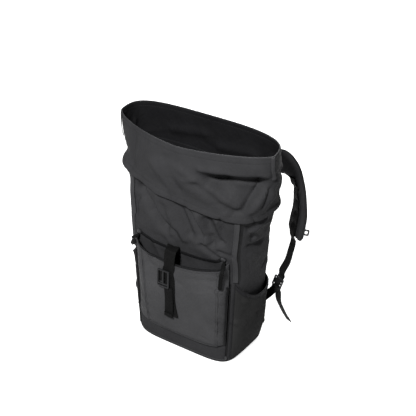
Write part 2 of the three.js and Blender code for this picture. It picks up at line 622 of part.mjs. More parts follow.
// Sliders at both ends of the pocket's zip, each with a hanging pull tab
const sliderAlong = (side) => side * (POCKET_HALF - SLIDER_INSET - SLIDER_LONG / 2);
const sliderFoot = (side) => rearTapeFoot(sliderAlong(side)) + (ZIP_TAPE_WIDTH - SLIDER_WIDE) / 2;
function pocketSlider(side) {
  const s = sliderAlong(side);
  return patch(
    [s - SLIDER_LONG / 2, s + SLIDER_LONG / 2],
    [sliderFoot(side), sliderFoot(side) + SLIDER_WIDE],
    () => GAP + TAPE + GAP,
    () => GAP + TAPE + GAP + SLIDER_THICK,
  );
}
const PULL_HANG = [
  { fall: 0.00, out: 0.00 },
  { fall: 0.12, out: 0.10 },
  { fall: 0.40, out: 0.08 },
  { fall: 0.70, out: 0.06 },
  { fall: 1.00, out: 0.05 },
];
function pullTab(side) {
  const s = sliderAlong(side);
  const lean = THREE.MathUtils.degToRad(side > 0 ? PULL_LEAN_RIGHT : PULL_LEAN_LEFT);
  const head = sliderFoot(side) - SLIDER_THICK / 2;
  const points = PULL_HANG.map((row) => {
    const along = s + side * row.fall * PULL_LENGTH * Math.sin(lean);
    const z = head - row.fall * PULL_LENGTH * Math.cos(lean);
    const clear = row.fall ? pocketOut(along, z) + 4 * GAP + PULL_THICK : GAP + TAPE + GAP + SLIDER_THICK / 2;
    return onBag(along, z, Math.max(clear, GAP + TAPE + GAP + SLIDER_THICK / 2) + row.out * PULL_LENGTH);
  });
  const across = onBag(s + 1, head, 0).sub(onBag(s - 1, head, 0));
  const path = smoothPath(points, 8);
  return band(path, path.map(() => across), PULL_WIDTH, PULL_THICK);
}
for (const [name, side] of sideNames) {
  add(`zip_slider_${name}`, pocketSlider(side), 'buckle');
  add(`zip_pull_${name}`, pullTab(side), 'webbing');
}

// Cover strips over the side zips, down both front corners of the body from under the collar's hem
function coverStrip(side) {
  const head = Math.min(hemAt(side * COVER_START), hemAt(side * (COVER_START + COVER_WIDTH))) - 2 * GAP;
  const grid = (out) => levelsBetween(COVER_FOOT, head).map((z) => [0, 0.5, 1].map((share) => {
    const lean = COVER_LEAN * (z - COVER_FOOT) / (head - COVER_FOOT);
    return onBag(side * (COVER_START + share * COVER_WIDTH - lean), z, out);
  }));
  return wall(grid(2 * GAP + COVER_CLOTH), grid(2 * GAP));
}
for (const [name, side] of sideNames) add(`side_zip_cover_${name}`, coverStrip(side), 'cloth');

// Quick-access zip at the right gusset's rear edge: the lip's tape, the body's tape and a slider at the foot
const QUICK_TAPE = 4;
add('quick_zip_lip', patch(
  [POCKET_HALF - 1 - QUICK_TAPE, POCKET_HALF - 1],
  range(10, POCKET_FLOOR + FLOOR_RISE, QUICK_ZIP_HEAD),
  (s, z) => pocketOut(s, z) + 2 * GAP,
  (s, z) => pocketOut(s, z) + 2 * GAP + TAPE,
), 'zip');
add('quick_zip_body', patch(
  [POCKET_HALF + 1, POCKET_HALF + 1 + QUICK_TAPE],
  levelsBetween(QUICK_ZIP_FOOT, QUICK_ZIP_HEAD),
  () => GAP,
  () => GAP + TAPE,
), 'zip');
add('quick_zip_slider', patch(
  [POCKET_HALF + 0.5, POCKET_HALF + 0.5 + SLIDER_WIDE * 0.7],
  [QUICK_ZIP_FOOT + 2, QUICK_ZIP_FOOT + 2 + SLIDER_LONG],
  () => GAP + TAPE + GAP,
  () => GAP + TAPE + GAP + SLIDER_THICK,
), 'buckle');

// Bottle pockets of stretch cloth on both sides
const BOTTLE_LOW = 0.64; // where along the pocket the hem is lowest
function bottlePocket(side) {
  const rises = [0, 0.04, 0.05, 0.25, 0.5, 0.75, 1];
  const alongs = columnsBetween(BOTTLE_FRONT, BOTTLE_BACK);
  const hem = (k) => BOTTLE_HEM + (k < BOTTLE_LOW
    ? BOTTLE_FRONT_RISE * ((BOTTLE_LOW - k) / BOTTLE_LOW) ** 2
    : BOTTLE_BACK_RISE * ((k - BOTTLE_LOW) / (1 - BOTTLE_LOW)) ** 2);
  const bulge = (k, rise) => BOTTLE_BULGE * Math.sin(Math.PI * k) ** 0.6 * Math.min(1, 0.15 + rise * 2.4);
  const grid = (isOuter) => rises.map((rise) => alongs.map((s) => {
    const k = (s - BOTTLE_FRONT) / (BOTTLE_BACK - BOTTLE_FRONT);
    const isSewn = rise < 0.045;
    const lift = isOuter ? STRETCH_CLOTH : 0;
    const swell = isSewn && !isOuter ? 0 : bulge(k, rise);
    return onBag(side * s, lerp(BOTTLE_FOOT, hem(k), rise), GAP + lift + swell);
  }));
  return wall(grid(true), grid(false));
}
for (const [name, side] of sideNames) add(`bottle_pocket_${name}`, bottlePocket(side), 'stretch');

// Closure strap: sewn to the body behind the pocket's mouth, it stands up, bridges the mouth and runs down the
// pocket's front. Each row has the place along the cloth, the height and what the strap lies on there
const strapOn = WEBBING / 2 + GAP;
const onPocket = (s, z) => pocketOut(s, z) + strapOn;
const overTape = GAP + TAPE + 2 * GAP + WEBBING / 2;
const buckleHead = BUCKLE_MIDDLE + BUCKLE_HEIGHT / 2;
const buckleFoot = BUCKLE_MIDDLE - BUCKLE_HEIGHT / 2;
const rearTapeMiddle = rearTapeFoot(-MOUTH_SWAY);
const edgeHead = POCKET_MOUTH + ZIP_TAPE_WIDTH;
const CLOSURE_ROUTE = [
  { s: -15, z: CLOSURE_ROOT, out: strapOn + GAP },
  { s: -15, z: rearTapeMiddle - 4, out: strapOn + GAP },
  { s: -15, z: rearTapeMiddle - 0.5, out: overTape },
  { s: -14, z: Math.max(CLOSURE_ARCH - 6, rearTapeMiddle + ZIP_TAPE_WIDTH), out: overTape },
  { s: -13, z: CLOSURE_ARCH - 1.5, out: overTape + 2 },
  { s: -10, z: CLOSURE_ARCH, out: overTape + POCKET_DEPTH * 0.3 },
  { s: -6, z: CLOSURE_ARCH + 1, out: onPocket(-6, POCKET_MOUTH) - 2 },
  { s: -5, z: CLOSURE_ARCH - 2.5, out: onPocket(-5, POCKET_MOUTH) + 2 },
  { s: -7, z: lerp(edgeHead, CLOSURE_ARCH, 0.5), out: onPocket(-7, POCKET_MOUTH) + 2.2 },
  { s: -10, z: edgeHead, out: onPocket(-10, POCKET_MOUTH) + 1 },
  { s: -12, z: POCKET_MOUTH - 10, out: onPocket(-12, POCKET_MOUTH - 10) },
  { s: CLOSURE_ALONG, z: buckleHead, out: onPocket(CLOSURE_ALONG, buckleHead) },
  { s: CLOSURE_ALONG, z: BUCKLE_MIDDLE, out: onPocket(CLOSURE_ALONG, BUCKLE_MIDDLE) },
  { s: -12, z: buckleFoot, out: onPocket(-12, buckleFoot) },
  { s: -12, z: lerp(buckleFoot, TAIL_FOOT, 0.5), out: onPocket(-12, lerp(buckleFoot, TAIL_FOOT, 0.5)) },
  { s: -6, z: TAIL_FOOT - 3, out: onPocket(-6, TAIL_FOOT - 3) },
];
const pocketAcross = onBag(CLOSURE_ALONG + CLOSURE_WIDTH / 2, POCKET_MOUTH, 0)
  .sub(onBag(CLOSURE_ALONG - CLOSURE_WIDTH / 2, POCKET_MOUTH, 0))
  .normalize();
const closurePoints = CLOSURE_ROUTE.map((row) => onBag(row.s, row.z, row.out));
add('closure_strap', band(closurePoints, closurePoints.map(() => pocketAcross), CLOSURE_WIDTH, WEBBING), 'webbing');

// Closure buckle on the strap: a frame with two upright windows over a low slot
function closureBuckle() {
  const lift = GAP + WEBBING + GAP + BUCKLE_THICK / 2;
  const head = onBag(BUCKLE_ASIDE, buckleHead, onPocket(BUCKLE_ASIDE, buckleHead) - strapOn + lift);
  const foot = onBag(BUCKLE_ASIDE, buckleFoot, onPocket(BUCKLE_ASIDE, buckleFoot) - strapOn + lift + BUCKLE_TILT);
  const w = BUCKLE_WIDTH / 2;
  const h = BUCKLE_HEIGHT / 2;
  const slotFoot = -h + BUCKLE_BAR;
  const slotHead = slotFoot + BUCKLE_SLOT;
  const xs = [-w, -w + BUCKLE_BAR, -BUCKLE_BAR / 2, BUCKLE_BAR / 2, w - BUCKLE_BAR, w];
  const ys = [-h, slotFoot, slotHead, slotHead + BUCKLE_BAR * 0.7, h - BUCKLE_BAR * 0.7, h];
  const windows = [[1, 3], [3, 3], [1, 1], [2, 1], [3, 1]];
  const place = placement(lerpPoint(head, foot, 0.5), pocketAcross, head.clone().sub(foot));
  return barFrame(xs, ys, windows, BUCKLE_THICK, place);
}
const lerpPoint = (a, b, t) => a.clone().lerp(b, t);
add('closure_buckle', closureBuckle(), 'buckle');

// The strap's other end hangs in front, from the buckle's foot
function closureTail() {
  const on = WEBBING + GAP;
  const head = buckleFoot - GAP;
  const rows = [
    { s: -14, z: head, lift: on },
    { s: -13, z: lerp(head, TAIL_FOOT, 0.5), lift: on + 1.5 },
    { s: -15, z: TAIL_FOOT, lift: on + 3.5 },
  ];
  const path = smoothPath(rows.map((row) => onBag(row.s, row.z, onPocket(row.s, row.z) + row.lift)), 6);
  return band(path, path.map(() => pocketAcross), CLOSURE_WIDTH - 5, WEBBING);
}
add('closure_tail', closureTail(), 'webbing');

// Back panel: a padded slab on the rear face
const PAD_EDGE = 0.35; // its thickness at the edge as a share of the middle's
const PAD_SHOULDER = 24; // how far in from the edge it is full
const padFade = (inward) => lerp(PAD_EDGE, 1, Math.min(1, inward / PAD_SHOULDER) ** 0.6);
function padOut(x, z) {
  const inward = Math.min(PAD_HALF - Math.abs(x), z - PAD_FOOT, PAD_HEAD - z);
  return GAP + PAD_THICK * padFade(Math.max(0, inward));
}
function backPad() {
  const near = [PAD_SHOULDER * 0.3, PAD_SHOULDER];
  const columns = [3, 5, 6, 7].map((count) => count * COLUMN_STEP);
  const halves = withSteps(0, PAD_HALF, [...columns, PAD_HALF - near[0]]);
  const xs = [...halves.slice(1).reverse().map((x) => -x), ...halves];
  const zs = withSteps(PAD_FOOT, PAD_HEAD, [
    ...LEVELS.map((level) => level * RIM_HEIGHT), ...near.map((d) => PAD_FOOT + d), ...near.map((d) => PAD_HEAD - d),
  ].sort((a, b) => a - b));
  const grid = (out) => zs.map((z) => xs.map((x) => onBack(x, z, out(x, z))));
  return wall(grid(padOut), grid(() => GAP));
}
add('back_pad', backPad(), 'mesh');

// Grab handle: a webbing loop across the top of the back
function grabHandle() {
  const free = HANDLE_HALF - HANDLE_SEWN;
  const rows = [
    [-HANDLE_HALF, 0], [-free, 0], [-free * 0.86, 0.3], [-free * 0.5, 0.85], [0, 1],
    [free * 0.5, 0.85], [free * 0.86, 0.3], [free, 0], [HANDLE_HALF, 0],
  ];
  const points = rows.map(([x, share]) => onBack(x, HANDLE_HEIGHT, strapOn + share * HANDLE_REACH));
  return band(points, points.map(() => vector(0, 0, 1)), HANDLE_WIDTH, WEBBING);
}
add('grab_handle', grabHandle(), 'webbing');

// Rear closure strap: sewn above the pad, it hangs down over it to a plain hook that meets the front buckle
function rearStrap() {
  const overPad = (z) => padOut(0, z) + strapOn;
  const rows = [
    [REAR_STRAP_HEAD, strapOn + GAP],
    [PAD_HEAD + 7, strapOn + GAP],
    [PAD_HEAD + 0.4, GAP + PAD_THICK * PAD_EDGE + strapOn + 1.2],
    [PAD_HEAD - PAD_SHOULDER * 0.3, overPad(PAD_HEAD - PAD_SHOULDER * 0.3) + 0.6],
    [PAD_HEAD - PAD_SHOULDER, overPad(PAD_HEAD - PAD_SHOULDER)],
    ...range(4, 320, REAR_STRAP_FOOT).map((z) => [z, overPad(z)]),
  ];
  const points = rows.map(([z, out]) => onBack(0, z, out));
  return band(points, points.map(() => vector(1, 0, 0)), CLOSURE_WIDTH, WEBBING);
}
add('rear_strap', rearStrap(), 'webbing');
function rearHook() {
  const w = HOOK_WIDTH / 2;
  const h = HOOK_HEIGHT / 2;
  const z = REAR_STRAP_FOOT;
  const at = onBack(0, z, padOut(0, z) + GAP + WEBBING + GAP + HOOK_THICK / 2);
  const place = placement(at, vector(-1, 0, 0), vector(0, 0, 1));
  const xs = [-w, -w + HOOK_BAR, w - HOOK_BAR, w];
  const ys = [-h, -h + HOOK_BAR, -HOOK_BAR / 2, HOOK_BAR / 2, h - HOOK_BAR, h];
  return barFrame(xs, ys, [[1, 1], [1, 3]], HOOK_THICK, place);
}
add('rear_hook', rearHook(), 'buckle');

// Shoulder strap, its webbing, the lock that the webbing runs through and the anchor on the bag. All is placed
// as on the right, and turned over for the left
function turnedOver(geometry) {
  const turned = geometry.clone();
  const { array } = turned.attributes.position;
  for (let i = 0; i < array.length; i += 3) array[i] = -array[i];
  turned.setIndex(Array.from(geometry.index.array).reverse());
  turned.computeVertexNormals();
  return turned;
}
function harness(name, side) {
  const addSided = (node, geometry, material) => {
    add(`${node}_${name}`, side > 0 ? geometry : turnedOver(geometry), material);
  };
  const onThisBack = (x, z, out) => {
    const p = onBack(side * x, z, out);
    return vector(side * p.x, p.y, p.z);
  };
  const centres = SHOULDER.map((row) => vector(
    STRAP_ROOT_X + row.across * STRAP_SPREAD,
    STRAP_ROOT_Y + row.back * STRAP_REACH,
    STRAP_ROOT_Z - row.fall * STRAP_DROP,
  ));
  centres[0].y = onThisBack(STRAP_ROOT_X, STRAP_ROOT_Z, GAP).y + STRAP_THICK / 2;
  const steps = 18;
  const path = smoothPath(centres, steps);
  const [route, turning] = [curveOf(centres), curveOf(SHOULDER.map((row) => vector(row.wx, row.wy, row.wz)))];
  const widths = range(steps, 0, 1).map((share) => turning.getPoint(route.getUtoTmapping(share)));
  const bend = (share) => 1 - STRAP_WAIST * Math.exp(-(((share - 0.45) / 0.14) ** 2));
  const rounded = (share) => Math.min(bend(share), 0.6 + 10 * (1 - share), 0.6 + 5 * share);
  const sewnFlat = (share) => Math.min(1, 0.55 + 4 * share);
  addSided('shoulder_pad', band(path, widths, STRAP_WIDTH, STRAP_THICK, {
    chamfer: STRAP_CHAMFER, widthAt: rounded, thickAt: sewnFlat,
  }), 'mesh');

  const onFace = (i, lift) => {
    const { face } = bandFrame(path, widths, i);
    return path[i].clone().addScaledVector(face, STRAP_THICK / 2 + GAP + lift);
  };
  const backFace = onBack(BASE_WIDTH / 4, LOCK_HEIGHT, 0).y;
  const lock = vector(BASE_WIDTH / 2 + LOCK_ASIDE, backFace + LOCK_REACH, LOCK_HEIGHT);
  const lockAcross = vector(0.9, -0.43, 0).normalize();
  const lockUp = vector(0.17, 0.35, 0.92);
  lockUp.addScaledVector(lockAcross, -lockUp.dot(lockAcross)).normalize();
  const lockFront = vector().crossVectors(lockAcross, lockUp);
  const atLock = (up, front) => lock.clone().addScaledVector(lockUp, up).addScaledVector(lockFront, front);
  const pitch = LOCK_BAR + LOCK_WINDOW;
  const past = LOCK_THICK / 2 + strapOn + GAP / 4;
  const turn = LOCK_BAR / 2 + 0.5;

  const first = Math.round(WEBBING_START * steps);
  const onPad = range(steps - first, first, steps).map((i) => onFace(i, WEBBING / 2 + GAP / 2));
  const lockTop = atLock(pitch + LOCK_BAR * 2, -past - 1);
  const between = HANG.map((row) => lock.clone().add(
    vector(row.across, row.back, row.rise).multiplyScalar(LOCK_HEIGHT),
  ));
  const weave = [
    [pitch + turn, -past], [pitch - turn, -past], [turn, past], [-turn, past], [turn - pitch, -past],
    [-pitch - turn, -past],
  ].map(([up, front]) => atLock(up, front));
  const tail = smoothPath([weave[5], ...TAIL.map((row) => vector(
    lock.x + row.across * TAIL_SPREAD,
    lock.y + row.back * TAIL_REACH,
    lock.z - row.fall * LOCK_HEIGHT,
  ))], 9).slice(1);
  const webbing = [...onPad, ...between, lockTop, ...weave, ...tail];
  const webbingSides = webbing.map((_, i) => {
    if (i < onPad.length) return widths[first + i];
    const share = Math.min(1, (i - onPad.length + 1) / (between.length + 1));
    return lerpPoint(widths[steps], lockAcross, share);
  });
  addSided('harness_webbing', band(webbing, webbingSides, HARNESS_WEBBING, WEBBING), 'webbing');

  const lockEdge = pitch + LOCK_BAR / 2;
  const lockRows = [-lockEdge, LOCK_BAR - lockEdge, -LOCK_BAR / 2, LOCK_BAR / 2, lockEdge - LOCK_BAR, lockEdge];
  const w = LOCK_WIDTH / 2;
  addSided('ladder_lock', barFrame(
    [-w, LOCK_BAR - w, w - LOCK_BAR, w], lockRows, [[1, 1], [1, 3]], LOCK_THICK,
    placement(lock, lockAcross, lockUp),
  ), 'plastic');

  const anchorFoot = onThisBack(ANCHOR_X, ANCHOR_FOOT, strapOn + 2 * GAP);
  const anchorHead = onThisBack(ANCHOR_X, ANCHOR_HEAD, strapOn + 2 * GAP);
  const anchorAcross = onThisBack(ANCHOR_X + 6, ANCHOR_HEAD, 0).sub(onThisBack(ANCHOR_X - 6, ANCHOR_HEAD, 0));
  const lockFoot = atLock(-pitch - turn - 4, past + 0.5);
  const anchorPath = [
    anchorFoot,
    anchorHead,
    anchorHead.clone().add(vector(0, 3, 6)),
    lerpPoint(anchorHead, lockFoot, 0.5),
    lockFoot,
    atLock(-pitch - turn, past),
    atLock(turn - pitch, past),
  ];
  const anchorSides = anchorPath.map((_, i) => lerpPoint(
    anchorAcross.clone().normalize(), lockAcross, Math.min(1, Math.max(0, i - 1) / 3),
  ));
  addSided('strap_anchor', band(anchorPath, anchorSides, HARNESS_WEBBING, WEBBING), 'webbing');

  const sternumAt = Math.round(STERNUM_AT * steps);
  const { side: edge, face } = bandFrame(path, widths, sternumAt);
  const outwards = edge.clone().multiplyScalar(0.5).addScaledVector(face, -0.87).normalize();
  const sternumMiddle = path[sternumAt].clone()
    .addScaledVector(edge, STRAP_WIDTH / 2 + 2 * GAP + STERNUM_THICK / 2 + STERNUM_BAR / 2)
    .addScaledVector(outwards, STERNUM_WIDTH / 2 - STERNUM_BAR);
  const s = STERNUM_WIDTH / 2;
  const u = STERNUM_HEIGHT / 2;
  addSided('sternum_slider', barFrame(
    [-s, STERNUM_BAR - s, s - STERNUM_BAR, s], [-u, STERNUM_BAR - u, u - STERNUM_BAR, u], [[1, 1]],
    STERNUM_THICK, placement(sternumMiddle, outwards, vector(0, 0, 1)),
  ), 'plastic');
}
for (const [name, side] of sideNames) harness(name, side);

export default bag;
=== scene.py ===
"""A rolltop backpack that stands open, dressed over its CAD frame.

Millimetres are used for all the shapes below, and metres for what Blender gets. along is the distance over
the cloth from the middle of the front, plus to the right, and out the distance outwards from the cloth.
"""
import json
import math
from functools import cache, partial

import bpy
import bmesh
import numpy as np
from bpy.props import FloatProperty, FloatVectorProperty, IntProperty, PointerProperty
from mathutils import Matrix, Vector

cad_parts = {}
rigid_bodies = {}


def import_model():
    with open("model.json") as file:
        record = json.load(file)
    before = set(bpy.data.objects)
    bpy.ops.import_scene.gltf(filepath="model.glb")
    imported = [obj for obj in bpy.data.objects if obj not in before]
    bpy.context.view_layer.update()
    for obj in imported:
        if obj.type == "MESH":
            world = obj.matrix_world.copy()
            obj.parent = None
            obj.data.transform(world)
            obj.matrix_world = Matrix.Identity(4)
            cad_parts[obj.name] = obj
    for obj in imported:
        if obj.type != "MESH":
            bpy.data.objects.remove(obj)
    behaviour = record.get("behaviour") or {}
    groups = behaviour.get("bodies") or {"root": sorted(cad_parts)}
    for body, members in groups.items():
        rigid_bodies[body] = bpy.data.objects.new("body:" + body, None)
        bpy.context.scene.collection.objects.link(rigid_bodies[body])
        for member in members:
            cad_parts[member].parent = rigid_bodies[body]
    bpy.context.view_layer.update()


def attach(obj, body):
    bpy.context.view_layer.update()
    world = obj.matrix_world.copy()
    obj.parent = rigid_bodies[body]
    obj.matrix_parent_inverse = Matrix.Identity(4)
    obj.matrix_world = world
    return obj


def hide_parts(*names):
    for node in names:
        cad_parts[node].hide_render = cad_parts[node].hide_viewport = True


bl_info = {
    "name": "Rolltop backpack",
    "version": (1, 0, 0),
    "blender": (4, 5, 0),
    "location": "View3D > Sidebar > Backpack",
    "description": "Dresses the frame of an open rolltop backpack",
    "category": "Object",
}

for leftover in list(bpy.data.objects):
    bpy.data.objects.remove(leftover)
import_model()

# Size of the bag, as in the frame
BASE_WIDTH = 296
BASE_DEPTH = 156
MOUTH_WIDTH = 390
RIM_HEIGHT = 588
RIM_TILT = 14
HEM_HEIGHT = 451
HEM_TILT = -29
COLLAR_OVERLAP = 33
HALF_GIRTH = 420
BASE_ROUND = 7
BASE_PLATE = 4
BODY_TUCK = 1.8
BODY_CLOTH = 2.4
COLLAR_CLOTH = 2.0
POCKET_CLOTH = 2.2
STRETCH_CLOTH = 2.0
COVER_CLOTH = 2.4
TAPE = 1.5
WEBBING = 2.0
GAP = 0.4
HEM_LIFT = 2.2
RIM_BAND_HEIGHT = 13
RIM_BAND_CLOTH = 3.2
RIM_STRIP_WIDTH = 6
RIM_STRIP_LENGTH = 52
RIM_STRIP_ROUND = 0.445

POCKET_FLOOR = 56
POCKET_MOUTH = 285
MOUTH_RISE = 27
MOUTH_SWAY = 12
FLOOR_RISE = 12
POCKET_DEPTH = 25
POCKET_HALF = 122
SEAM_LEFT = 86
SEAM_RIGHT = 104
POCKET_BASE = 4.5
QUICK_LIP = 7
ZIP_TAPE_WIDTH = 6
REAR_TAPE_RISE = 20
REAR_TAPE_END = 5
SLIDER_LONG = 11
SLIDER_WIDE = 8
SLIDER_THICK = 4
SLIDER_INSET = 6
PULL_WIDTH = 9
PULL_LENGTH = 60
PULL_THICK = 2
PULL_LEAN_RIGHT = -3
PULL_LEAN_LEFT = 32
REAR_TAPE_INSET = 8
CLOSURE_ALONG = -13
COVER_START = 131
COVER_LEAN = 6
COVER_WIDTH = 10
COVER_FOOT = 260
QUICK_ZIP_FOOT = 14
QUICK_ZIP_HEAD = 254
QUICK_TAPE = 4

BOTTLE_FRONT = 136
BOTTLE_BACK = 284
BOTTLE_HEM = 182
BOTTLE_LOW = 0.64
BOTTLE_FRONT_RISE = 70
BOTTLE_BACK_RISE = 18
BOTTLE_BULGE = 9
BOTTLE_FOOT = 12

CLOSURE_WIDTH = 28
CLOSURE_ROOT = 283
CLOSURE_ARCH = 323
TAIL_FOOT = 127
BUCKLE_HEIGHT = 48
BUCKLE_MIDDLE = 242
BUCKLE_WIDTH = 32
BUCKLE_THICK = 4
BUCKLE_BAR = 4.4
BUCKLE_SLOT = 3.6
BUCKLE_ASIDE = -25
BUCKLE_TILT = 3.5
HOOK_WIDTH = 36
HOOK_HEIGHT = 26
HOOK_THICK = 4
HOOK_BAR = 4.5
LOCK_WIDTH = 32
STERNUM_WIDTH = 14
STERNUM_HEIGHT = 17
STERNUM_BAR = 3.5
STERNUM_THICK = 4
STERNUM_AT = 0.9

PAD_HALF = 104
PAD_THICK = 13
PAD_FOOT = 42
PAD_HEAD = 384
PAD_EDGE = 0.35
PAD_SHOULDER = 24
PAD_CHANNELS = (118, 200, 282)
PAD_CHANNEL_ASIDE = 36
PAD_CHANNEL_RISE = 0.12
HANDLE_HALF = 40
HANDLE_SEWN = 12
HANDLE_REACH = 30
HANDLE_WIDTH = 24
HANDLE_HEIGHT = HEM_HEIGHT - 26
REAR_STRAP_HEAD = HEM_HEIGHT - 47
REAR_STRAP_KNEE = 320
REAR_STRAP_FOOT = 150

STRAP_WIDTH = 62
STRAP_THICK = 12
STRAP_WAIST = 0.16
STRAP_ROOT = (66, 84, 412)
STRAP_SPAN = (121, 76, 146)
HARNESS_WEBBING = 22
WEBBING_START = 0.5
LOCK_WINDOW = 8
LOCK_BAR = 4
LOCK_THICK = 3
LOCK_ASIDE = 13
LOCK_REACH = 40
LOCK_HEIGHT = 135
ANCHOR_X = 120
ANCHOR_FOOT = 44
ANCHOR_HEAD = 68
TAIL_SPREAD = 31
TAIL_REACH = 17

# level, flare, front, back, front square, back square, taper, turn, sway:
# the form of the bag from base to rim
FORM = np.array([
    (0.00, -0.04, 1.10, 0.96, 5.60, 4.6, 0.10, 0.000, -0.010),
    (0.10, 0.02, 1.07, 0.98, 5.00, 4.8, 0.09, 0.000, -0.006),
    (0.26, 0.06, 1.04, 1.00, 4.40, 5.0, 0.08, 0.000, -0.004),
    (0.48, 0.19, 0.99, 1.00, 3.80, 5.0, 0.08, 0.000, -0.006),
    (0.59, 0.32, 0.97, 1.00, 3.50, 4.6, 0.07, -0.020, -0.008),
    (0.74, 0.64, 0.98, 1.00, 2.80, 4.2, 0.05, -0.050, -0.004),
    (0.86, 0.90, 0.98, 0.98, 2.00, 3.8, 0.02, -0.060, 0.000),
    (1.00, 1.00, 0.90, 0.94, 1.45, 3.4, 0.00, -0.085, -0.018),
])

# round, level, to round, to level, spread, depth: the main folds, as in the frame
FOLDS = [
    (0.17, 0.886, 0.385, 0.900, 0.050, -0.090),
    (0.18, 0.940, 0.40, 0.948, 0.036, 0.018),
    (-0.10, 0.886, 0.23, 0.806, 0.044, 0.028),
    (-0.04, 0.928, 0.10, 0.890, 0.040, -0.018),
    (0.375, 0.893, 0.29, 0.806, 0.042, -0.036),
    (-0.225, 0.757, -0.055, 0.621, 0.052, -0.062),
    (-0.100, 0.765, 0.030, 0.640, 0.048, 0.034),
    (0.13, 0.587, 0.225, 0.577, 0.070, 0.046),
    (0.34, 0.831, 0.43, 0.870, 0.036, -0.024),
    (0.38, 0.740, 0.47, 0.760, 0.040, -0.024),
    (-0.42, 0.70, -0.34, 0.76, 0.045, -0.026),
    (-0.46, 0.87, -0.33, 0.84, 0.045, -0.024),
]

# along, height, to along, to height, spread, depth: finer creases of the cloth, in millimetres
CREASES = [
    (-30, 534, 20, 536, 12, 2.2),
    (8, 530, 70, 505, 9, 3.5),
    (70, 505, 134, 468, 9, 3.8),
    (40, 505, 118, 462, 8, -3.8),
    (52, 546, 176, 545, 8, 4.4),
    (64, 517, 96, 526, 13, -9.5),
    (106, 531, 172, 526, 12, -5.0),
    (88, 505, 156, 504, 17, -6.5),
    (170, 520, 134, 464, 8, -6.7),
    (186, 518, 152, 462, 7, 3.8),
    (-34, 542, 2, 482, 10, -2.2),
    (-60, 520, -10, 470, 10, 2.6),
    (190, 520, 176, 470, 6, -3.5),
    (208, 530, 196, 480, 6, 2.9),
    (-104, 432, -40, 362, 12, -13.0),
    (-82, 440, -16, 376, 13, 8.0),
    (64, 424, 84, 364, 7, -7.0),
    (46, 428, 70, 366, 8, 5.1),
    (96, 438, 104, 372, 6, -5.1),
    (0, 436, 30, 372, 9, -6.5),
    (-20, 410, 14, 350, 9, 5.0),
    (175, 515, 150, 478, 6, 2.6),
    (-120, 560, -128, 480, 9, -2.6),
    (-60, 555, -66, 500, 12, 2.2),
    (20, 440, 60, 380, 7, -5.1),
    (32, 440, 75, 390, 6, 4.2),
    (-55, 430, -20, 350, 8, 4.2),
    (70, 430, 96, 372, 7, -4.6),
    (90, 425, 104, 380, 6, 4.2),
    (60, 352, 110, 322, 6, -5.1),
    (100, 345, 128, 335, 6, -3.8),
    (150, 420, 172, 380, 7, -5.1),
    (160, 400, 200, 420, 7, 4.2),
    (165, 360, 205, 345, 8, -5.1),
    (170, 330, 200, 300, 9, 3.8),
    (-110, 430, -125, 360, 8, -4.2),
    (205, 505, 235, 470, 8, -3.5),
    (215, 540, 245, 520, 8, -2.9),
    (-170, 500, -220, 470, 9, -3.5),
    (-180, 420, -230, 380, 9, -5.1),
    (320, 520, 420, 505, 12, -3.2),
    (-320, 515, -400, 530, 12, -3.2),
    (290, 430, 260, 380, 10, -4.6),
    (-290, 430, -265, 370, 10, -4.6),
]

# across, back, fall, and the direction of the width: the shoulder strap from its root.
# The first three are shares of STRAP_SPAN.
SHOULDER = [
    (0.00, 0.00, 0.00, -0.66, 0.00, 0.75),
    (0.21, 0.12, -0.24, -0.60, 0.00, 0.80),
    (0.48, 0.22, -0.47, -0.36, 0.00, 0.93),
    (0.62, 0.34, -0.53, -0.16, 0.05, 0.98),
    (0.72, 0.56, -0.42, 0.18, -0.12, 0.97),
    (0.84, 0.78, -0.24, 0.52, -0.44, 0.73),
    (0.95, 0.91, 0.00, 0.68, -0.66, 0.33),
    (0.99, 0.94, 0.27, 0.74, -0.66, 0.14),
    (1.00, 0.96, 0.51, 0.77, -0.63, 0.06),
    (0.97, 0.95, 0.79, 0.80, -0.60, 0.00),
    (0.95, 0.92, 1.00, 0.80, -0.60, 0.00),
]

# across, back, rise: the webbing from the strap's end down to the lock, as shares of LOCK_HEIGHT
HANG = [(0.130, 0.265, 0.87), (0.110, 0.225, 0.62), (0.090, 0.160, 0.42), (0.035, 0.075, 0.22)]

# across, back, fall: the free tail from the lock to the floor, as shares of TAIL_SPREAD, TAIL_REACH
# and LOCK_HEIGHT
TAIL = [(0.06, 0.02, 0.18), (0.15, 0.12, 0.44), (0.40, 0.38, 0.63), (0.72, 0.70, 0.83), (1.00, 1.00, 0.98)]

# rise, depth: how the front pocket swells from its floor to its mouth, as shares of POCKET_DEPTH
POCKET_PROFILE = np.array([(0.00, 0.20), (0.08, 0.50), (0.40, 0.82), (1.00, 1.00)])
SIDES = (("right", 1), ("left", -1))
MM = 0.001

# The studio, in metres and degrees. A light has its place, aim and size.
FLOOR_REACH = 70
SKY_STRENGTH = 0.06
KEY_LIGHT = ((0.25, -1.75, 2.5), (0, 0, 0.35), 0.3)
BACK_LIGHT = ((-0.6, 2.3, 1.5), (0, 0, 0.3), 1.2)
CAMERA_PLACE = (0.688, -1.162, 1.380)
CAMERA_TILT = 53.5
CAMERA_TURN = 29.6
CAMERA_SENSOR = 36


# Shapes
def sample(table, at):
    """Values of a table's columns at a position in its first, on a smooth curve through its rows."""
    key = table[:, 0]
    last = len(table) - 1
    i = int(np.clip(np.searchsorted(key, at, side="left") - 1, 0, last - 1))
    a, b = table[i], table[i + 1]
    before, after = table[max(0, i - 1)], table[min(last, i + 2)]
    span = b[0] - a[0]
    t = min(1.0, max(0.0, (at - a[0]) / span))
    slope_a = (b - before) / (b[0] - before[0])
    slope_b = (after - a) / (after[0] - a[0])
    return ((2 * t**3 - 3 * t**2 + 1) * a + (t**3 - 2 * t**2 + t) * span * slope_a
            + (3 * t**2 - 2 * t**3) * b + (t**3 - t**2) * span * slope_b)


